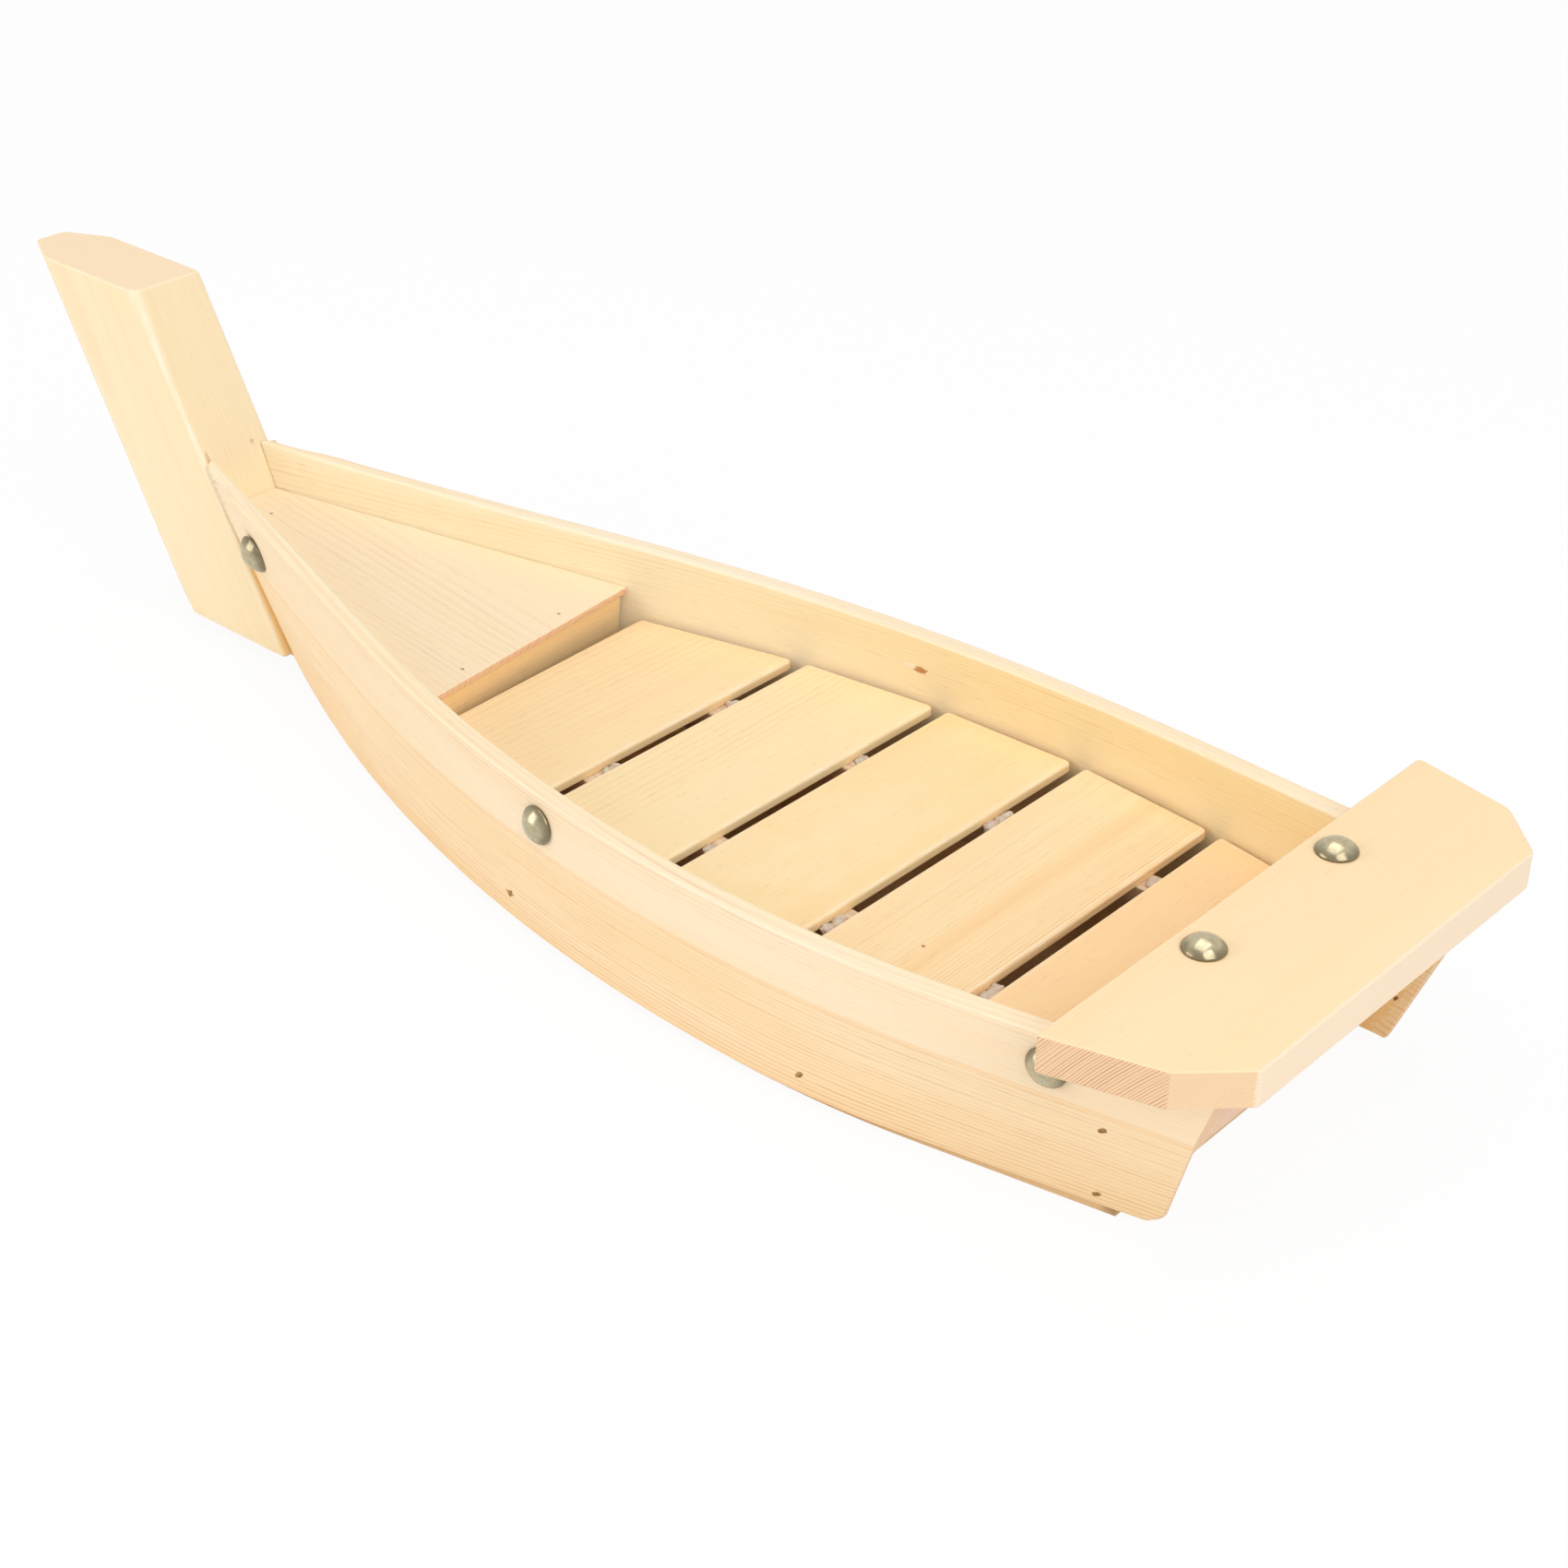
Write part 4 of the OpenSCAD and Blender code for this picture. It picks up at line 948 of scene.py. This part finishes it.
def bearer(name, at):
    xs = (at - BEARER_W / 2, at + BEARER_W / 2)
    lo, hi = narrow(xs, [FOOT_Z]) - FIT_GAP, narrow(xs, [BEARER_TOP_Z]) - FIT_GAP
    outline = [(-lo, FOOT_Z), (lo, FOOT_Z), (hi, BEARER_TOP_Z), (-hi, BEARER_TOP_Z)]
    return slab(name, outline, 0.5, xs[0], xs[1], lambda a, b, c: (c, a, b), 0.4)


REAR_BEARER_GRAIN = 300
bearer_wood = wood("bearer_wood", Y, (-30, 50), 1.5, seed=11.0, **sawn)
dress(bearer("bearer_front", TAIL_FOOT_X + FRONT_BEARER_X), "front_bearer", "hull", bearer_wood,
      upright_grain)
dress(bearer("bearer_rear", TAIL_FOOT_X + REAR_BEARER_X), "rear_bearer", "hull", bearer_wood,
      lambda x, y, z: (y + REAR_BEARER_GRAIN, z, x))

# The slatted floor

# How far the first slat's front edge lies ahead of the solid's, to starboard and to port
FIRST_SLAT_AHEAD = (3.5, 0.5)
SLAT_UNDER_R, SLAT_CORNER_R, SLAT_SEED = 0.3, 1.8, 20.0
BATTEN_CLEAR = 0.02


def slat(i):
    x0, x1 = slat_rear(i), slat_front(i)
    far, near = (x1 + e for e in FIRST_SLAT_AHEAD) if i == 0 else (x1, x1)
    outline = [(x0, -well_y(x0)), (far, -well_y(far)), (near, well_y(near)), (x0, well_y(x0))]
    return slab(f"floor_slat_{i + 1}", outline, SLAT_CORNER_R, SLAT_Z, SLAT_TOP_Z, plain,
                (SLAT_UNDER_R, SLAT_EDGE_R))


slat_looks = [
    dict(pith=(-30, -34), spacing=2.3, lines=0.75, uneven=1.4, pale=(0.97, 0.745, 0.435),
         warm=(0.965, 0.715, 0.40), late=LATE_SOFT, zone=[(0, 0.3), (10, 0.4), (24, 1.0), (46.5, 1.0)]),
    dict(pith=(-34, -36), spacing=2.3, lines=0.7, uneven=1.4, pale=(0.97, 0.775, 0.46),
         warm=(0.965, 0.75, 0.435), late=LATE_SOFT, zone=[(0, 0.05), (17, 0.1), (27, 1.0), (43, 1.0)]),
    dict(pith=(20, -150), spacing=2.6, lines=0.12, figure=0.5, pale=(0.975, 0.775, 0.465),
         warm=(0.965, 0.71, 0.37)),
    dict(pith=(-60, -20), spacing=0.85, lines=1.0, pale=(0.98, 0.765, 0.46), warm=(0.975, 0.72, 0.41),
         outer=[(0, LIGHT), (12.5, LIGHT), (16, (1.0, 0.93, 0.86)), (18.5, (1.0, 0.93, 0.86)), (23, LIGHT)],
         spots=[((32.0, 20.8, 0.0), (0.6, 0.5), (0.45, 0.2, 0.08))]),
    dict(pith=(10, -120), spacing=2.2, lines=0.12, figure=0.4, pale=(0.985, 0.70, 0.385),
         warm=(0.98, 0.675, 0.365)),
]
for i, look in enumerate(slat_looks):
    slat_wood = wood(f"slat_{i + 1}_wood", Y, end=(0.88, 0.62, 0.38), seed=SLAT_SEED + i, **look)
    rear = slat_rear(i)
    dress(slat(i), f"slat_{i + 1}", "slatted_floor", slat_wood,
          lambda x, y, z: (y, x - rear, z - SLAT_TOP_Z))

batten_turn = math.atan(BATTEN_SLOPE)
batten_wood = wood("batten_wood", (math.cos(batten_turn), math.sin(batten_turn), 0), (-30, 40), 1.5, seed=12.0,
                   pale=(0.66, 0.42, 0.24), warm=(0.52, 0.30, 0.16))
for name, side in (("port_batten", 1), ("starboard_batten", -1)):
    half = BATTEN_W / 2 / math.cos(batten_turn)
    outline = [(BATTEN_REAR_X, side * (BATTEN_REAR_Y - half)), (BATTEN_FRONT_X, side * (BATTEN_FRONT_Y - half)),
               (BATTEN_FRONT_X, side * (BATTEN_FRONT_Y + half)), (BATTEN_REAR_X, side * (BATTEN_REAR_Y + half))]
    dress(slab(f"floor_{name}", outline, 0.5, BATTEN_Z, SLAT_Z - BATTEN_CLEAR, plain, 0.4),
          name, "slatted_floor", batten_wood, plain)

# Dried glue on the battens: the gap behind a slat, the place across the boat and the lumps there, less one

GLUE = [(0, 20.4, 2), (0, -28.6, 1), (1, 31.8, 1), (1, -30.8, 1),
        (2, 35.9, 3), (2, -31.6, 4), (3, 35.1, 3), (3, -34.5, 1)]
GLUE_SEED, GLUE_UP = 7, 0.2
rng = random.Random(GLUE_SEED)


def lump(bm, centre, size, seed):
    made = bmesh.ops.create_icosphere(bm, subdivisions=3, radius=1.0)
    for v in made["verts"]:
        n = v.co.copy()
        big = lattice.noise(n * 1.7 + Vector((seed, 0, 0)))
        small = lattice.noise(n * 4.5 + Vector((0, seed, 0)))
        k = 1 + 0.35 * big + 0.12 * small
        v.co = (Vector(centre) + Vector(a * b * k for a, b in zip(n, size))) * MM


bm = bmesh.new()
for i, y, count in GLUE:
    x = slat_rear(i) - SLAT_GAP / 2
    for _ in range(count + 1):
        dx, dy = rng.uniform(-0.5, 0.5), rng.uniform(-1.3, 1.3) * count
        size = (rng.uniform(1.7, 2.3), rng.uniform(1.4, 2.6), rng.uniform(0.8, 1.1) + 0.18 * count)
        lump(bm, (x + dx, y + dy, SLAT_Z + GLUE_UP), size, rng.uniform(0, 50))
glue = finish_mesh("glue_blobs", bm)
t = Nodes("dried_glue_skin")
cloud = t.noise(t.place(), 900.0, 3.0)
glue_skin = t.surface(Base_Color=t.blend(t.span(cloud, 0.35, 0.65), (0.76, 0.60, 0.46), (0.70, 0.50, 0.35)),
                      Roughness=t.span(cloud, 0.3, 0.7, 0.35, 0.6), Subsurface_Weight=0.2,
                      Normal=t.bump(cloud, 0.0002, 0.3))
dress(glue, "glue_beads", "slatted_floor", glue_skin)

# Domed nails

DOME_SIDES, DOME_RINGS = 40, 11

# The rolled rim: its edge's inset and height from the wood up
DOME_RIM = ((0.5, 0.0), (0.12, 0.06), (0, 0.28), (0.03, 0.5))
RIM_IN, RIM_ROLL, RIM_TOP = 0.12, 0.5, 0.4
FACE_STEP = 2
DOME_RUN_Z = KNUCKLE_Z + DOME_OVER_KNUCKLE
DOME_RUN = stem_x(DOME_RUN_Z) - tail_x(DOME_RUN_Z)

# Each side nail: its share of the run, then its turn aft, how far it stands out, its shift aft and up, and
# its size; the bow pair sits askew
SIDE_DOMES = ((39 / DOME_RUN, 0, 0, 0, 0, 1), (199 / DOME_RUN, 0, 0, 0, 0, 1),
              (1 - 18.8 / DOME_RUN, -0.12, 0.5, 2.8, 1.3, 1.12))


def toward(v):
    return Vector((0, 0, 1)).rotation_difference(Vector(v).normalized()).to_matrix().to_4x4()


def dome(bm, place, shank):
    rim_layer = bm.verts.layers.float["rim"]
    r = (DOME_D ** 2 / 4 + DOME_H ** 2) / (2 * DOME_H)
    rim = math.asin((DOME_D / 2 - RIM_IN) / r)
    profile = [(DOME_SHANK_D / 2, -shank), (DOME_SHANK_D / 2, 0.0)]
    profile += [(DOME_D / 2 - d, z) for d, z in DOME_RIM]
    for q in range(DOME_RINGS):
        a = rim * (1 - q / DOME_RINGS)
        roll_up = RIM_ROLL * (1 - q / DOME_RINGS) ** 4
        profile.append((r * math.sin(a), DOME_H - r + r * math.cos(a) + roll_up))
    rows = []
    for radius, z in profile:
        row = []
        for q in range(DOME_SIDES):
            a = 2 * math.pi * q / DOME_SIDES
            v = bm.verts.new(place @ (Vector((radius * math.cos(a), radius * math.sin(a), z)) * MM))
            v[rim_layer] = radius / (DOME_D / 2) if z > RIM_TOP else 1.0
            row.append(v)
        rows.append(row)
    close_rows(bm, rows)
    top = bm.verts.new(place @ (Vector((0, 0, DOME_H)) * MM))
    for j in range(DOME_SIDES):
        bm.faces.new((rows[-1][j], rows[-1][(j + 1) % DOME_SIDES], top))
    bm.faces.new(rows[0][::-1])


def facing(x, z):
    """The way a plank's outer face looks, on the port side."""
    ahead = out_y(x + FACE_STEP, z) - out_y(x - FACE_STEP, z)
    above = out_y(x, z + FACE_STEP) - out_y(x, z - FACE_STEP)
    return Vector((-ahead / (2 * FACE_STEP), 1, -above / (2 * FACE_STEP))).normalized()


bm = bmesh.new()
bm.verts.layers.float.new("rim")
for s, tip, proud, back, rise, grow in SIDE_DOMES:
    z = knuckle_h(s) + DOME_OVER_KNUCKLE
    x = along(s, z)
    face = facing(x, z)
    at = Vector((x - back, out_y(x - back, z), z + rise)) + face * (DOME_LIFT + proud)
    face = (face + Vector((tip, 0, 0))).normalized()
    for side in (1, -1):
        flip = Vector((1, side, 1))
        dome(bm, Matrix.Translation(at * flip * MM) @ toward(face * flip) @ Matrix.Scale(grow, 4), SIDE_SHANK_L)
for side in (1, -1):
    at = Vector((BOARD_FRONT_X - BOARD_DOME_BACK, side * BOARD_DOME_Y, BOARD_TOP_Z))
    dome(bm, Matrix.Translation(at * MM), BOARD_SHANK_L)
bmesh.ops.recalc_face_normals(bm, faces=bm.faces)
nails = finish_mesh("domed_nails", bm)
t = Nodes("plated_nail_metal")
dull = t.noise(t.place(), 700.0, 4.0, 0.6)
dents = t.noise(t.place(), 320.0, 1.0)
plate = t.blend(t.span(dull, 0.35, 0.7), (0.55, 0.48, 0.32), (0.45, 0.38, 0.235))
edge = t.math("ADD", t.read("rim").outputs["Fac"], t.times(t.minus(dents, 0.5), 0.25))
# Painted reflection: the heads darken towards the rim, as if it reflected dark surroundings
rim_dark_reflection = t.span(edge, 0.55, 1.0, 0.0, 0.8)
nail_metal = t.surface(Base_Color=t.blend(rim_dark_reflection, plate, (0.17, 0.14, 0.085)), Metallic=1.0,
                       Roughness=t.span(dull, 0.3, 0.75, 0.14, 0.3), Normal=t.bump(dents, 0.0004, 0.2))
dress(nails, "dome_nails", "hull", nail_metal)

# Heads of the fine brads, punched level with the wood

BRAD_SIDES, BRAD_RAGGED, BRAD_SLANT = 9, 0.35, 0.3

# A head's rings: the share of its radius and the height above the wood
BRAD_RINGS = ((1.0, -0.4), (1.0, 0.02), (0.9, 0.07), (0.55, 0.03))
SIDE_BRAD_R, DECK_BRAD_R = 1.15, 0.45
TRANSOM_BRADS_UP, REAR_BRAD_UP, FRONT_BRAD_UP = (3.8, 28), 6, 8
DECK_BRADS_Y, NOSE_BRAD_BACK, NOSE_BRAD_Y = (23, -19), 13, 4


def brad(bm, at, face, radius, seed):
    place = Matrix.Translation(Vector(at) * MM) @ toward(face)
    rim = []
    for q in range(BRAD_SIDES):
        a = 2 * math.pi * q / BRAD_SIDES
        c, s = math.cos(a), math.sin(a)
        k = radius * (1 + BRAD_RAGGED * lattice.noise(Vector((c + seed, s, seed))))
        rim.append((k * (c + BRAD_SLANT * s), k * (s + BRAD_SLANT * c)))
    rows = [[bm.verts.new(place @ (Vector((x * f, y * f, h)) * MM)) for x, y in rim] for f, h in BRAD_RINGS]
    close_rows(bm, rows)
    bm.faces.new(rows[-1])
    bm.faces.new(rows[0][::-1])


bm = bmesh.new()
places = [(transom_mid_x(FOOT_Z + up), FOOT_Z + up) for up in TRANSOM_BRADS_UP]
places += [(TAIL_FOOT_X + REAR_BEARER_X, FOOT_Z + REAR_BRAD_UP),
           (TAIL_FOOT_X + FRONT_BEARER_X, FOOT_Z + FRONT_BRAD_UP)]
for i, (x, z) in enumerate(places):
    for side in (1, -1):
        flip = Vector((1, side, 1))
        brad(bm, Vector((x, out_y(x, z), z)) * flip, facing(x, z) * flip, SIDE_BRAD_R, i * 3.1 + side)
beam_mid = DECK_REAR_X + DECK_BEAM_BACK + DECK_BEAM_W / 2
deck_places = [(beam_mid - y * DECK_SKEW_SLOPE, y) for y in DECK_BRADS_Y]
deck_places.append((DECK_FRONT_X - NOSE_BRAD_BACK, NOSE_BRAD_Y))
for i, (x, y) in enumerate(deck_places):
    brad(bm, (x, y, deck_z(x)), (-math.sin(DECK_SLOPE), 0, math.cos(DECK_SLOPE)), DECK_BRAD_R, i * 5.3)
bmesh.ops.recalc_face_normals(bm, faces=bm.faces)
brads = finish_mesh("brad_heads", bm)
t = Nodes("brad_head_steel")
hole_shade_and_glint = t.noise(t.place(), 1500.0, 3.0)
# The heads' dark brown is partly the head and partly painted shade of the punched hole round it, and the golden
# brown mottle is a painted glint
brad_steel = t.surface(Base_Color=t.blend(t.span(hole_shade_and_glint, 0.35, 0.65), (0.24, 0.11, 0.035), (0.52, 0.31, 0.12)),
                       Metallic=0.0, Specular_IOR_Level=0.1,
                       Roughness=t.span(hole_shade_and_glint, 0.3, 0.7, 0.5, 0.8), Normal=t.bump(hole_shade_and_glint, 0.0002, 0.5))
dress(brads, "wire_brads", "hull", brad_steel)

# Floor, light and camera, in metres

FLOOR_HALF, FLOOR_GREY, FLOOR_WHITE = 8, (0.94, 0.94, 0.94), 0.93
SKY_LIGHT, SKY_SEEN = 0.48, 1.0

# Each softbox: its place, what it faces, its size and its power in watts
SOFTBOXES = (("overhead", (0, 0, 1.6), (0, 0, 0), 1.4, 7.7),
             ("key", (-1.1, 0.4, 1.05), (0, 0, 0.03), 1.0, 8.7),
             ("bow_side", (0.75, 1.15, 0.5), (0, 0, 0.03), 0.9, 6.2))

# The camera that was solved from the photograph
CAMERA_AT = (-0.492813, 0.50166, 0.43305)
CAMERA_TURN, CAMERA_DIP, CAMERA_ROLL = math.radians(-49.387), math.radians(31.148), math.radians(1.319)
IMAGE_PX, FOCAL_PX, SENSOR_MM = 1700, 3095.2, 36

floor_mesh = bpy.data.meshes.new("studio_floor")
floor_mesh.from_pydata([(x * FLOOR_HALF, y * FLOOR_HALF, 0) for x, y in ((-1, -1), (1, -1), (1, 1), (-1, 1))],
                       [], [(0, 1, 2, 3)])
studio = linked("studio_floor", floor_mesh)


def seen(t):
    """1 for rays from the camera and for reflections, 0 for the light itself."""
    rays = t.add("ShaderNodeLightPath")
    both = t.math("MAXIMUM", rays.outputs["Is Camera Ray"], rays.outputs["Is Glossy Ray"])
    return t.math("MAXIMUM", both, rays.outputs["Is Transmission Ray"])


t = Nodes("studio_white")
matte = t.made("ShaderNodeBsdfDiffuse", {"Color": FLOOR_GREY})
glow = t.made("ShaderNodeEmission", {"Color": LIGHT})
pick = t.made("ShaderNodeMixShader", {0: t.times(seen(t), FLOOR_WHITE), 1: matte, 2: glow})
t.show("ShaderNodeOutputMaterial", pick)
floor_mesh.materials.append(t.material)

world = bpy.data.worlds.new("studio")
bpy.context.scene.world = world
world.use_nodes = True
t = Nodes("studio", world.node_tree)
strength = t.span(seen(t), 0, 1, SKY_LIGHT, SKY_SEEN, smooth=False)
t.show("ShaderNodeOutputWorld", t.made("ShaderNodeBackground", {"Color": LIGHT, "Strength": strength}))

for name, at, target, size, power in SOFTBOXES:
    lamp = bpy.data.lights.new(name, "AREA")
    lamp.shape = "SQUARE"
    lamp.size = size
    lamp.energy = power
    box = linked(name, lamp)
    box.location = at
    box.rotation_mode = "QUATERNION"
    box.rotation_quaternion = (Vector(target) - Vector(at)).to_track_quat("-Z", "Y")

camera = linked("photo_camera", bpy.data.cameras.new("photo_camera"))
bpy.context.scene.camera = camera
ahead = math.cos(CAMERA_DIP)
view = Vector((math.cos(CAMERA_TURN) * ahead, math.sin(CAMERA_TURN) * ahead, -math.sin(CAMERA_DIP)))
level = Vector((math.sin(CAMERA_TURN), -math.cos(CAMERA_TURN), 0))
upright = level.cross(view)
right = math.cos(CAMERA_ROLL) * level + math.sin(CAMERA_ROLL) * upright
up = -math.sin(CAMERA_ROLL) * level + math.cos(CAMERA_ROLL) * upright
camera.matrix_world = Matrix((*zip(right, up, -view, CAMERA_AT), (0, 0, 0, 1)))
camera.data.sensor_width = SENSOR_MM
camera.data.lens = FOCAL_PX / IMAGE_PX * SENSOR_MM
camera.data.clip_start, camera.data.clip_end = 0.01, 50

bpy.context.scene.view_settings.view_transform = "Standard"
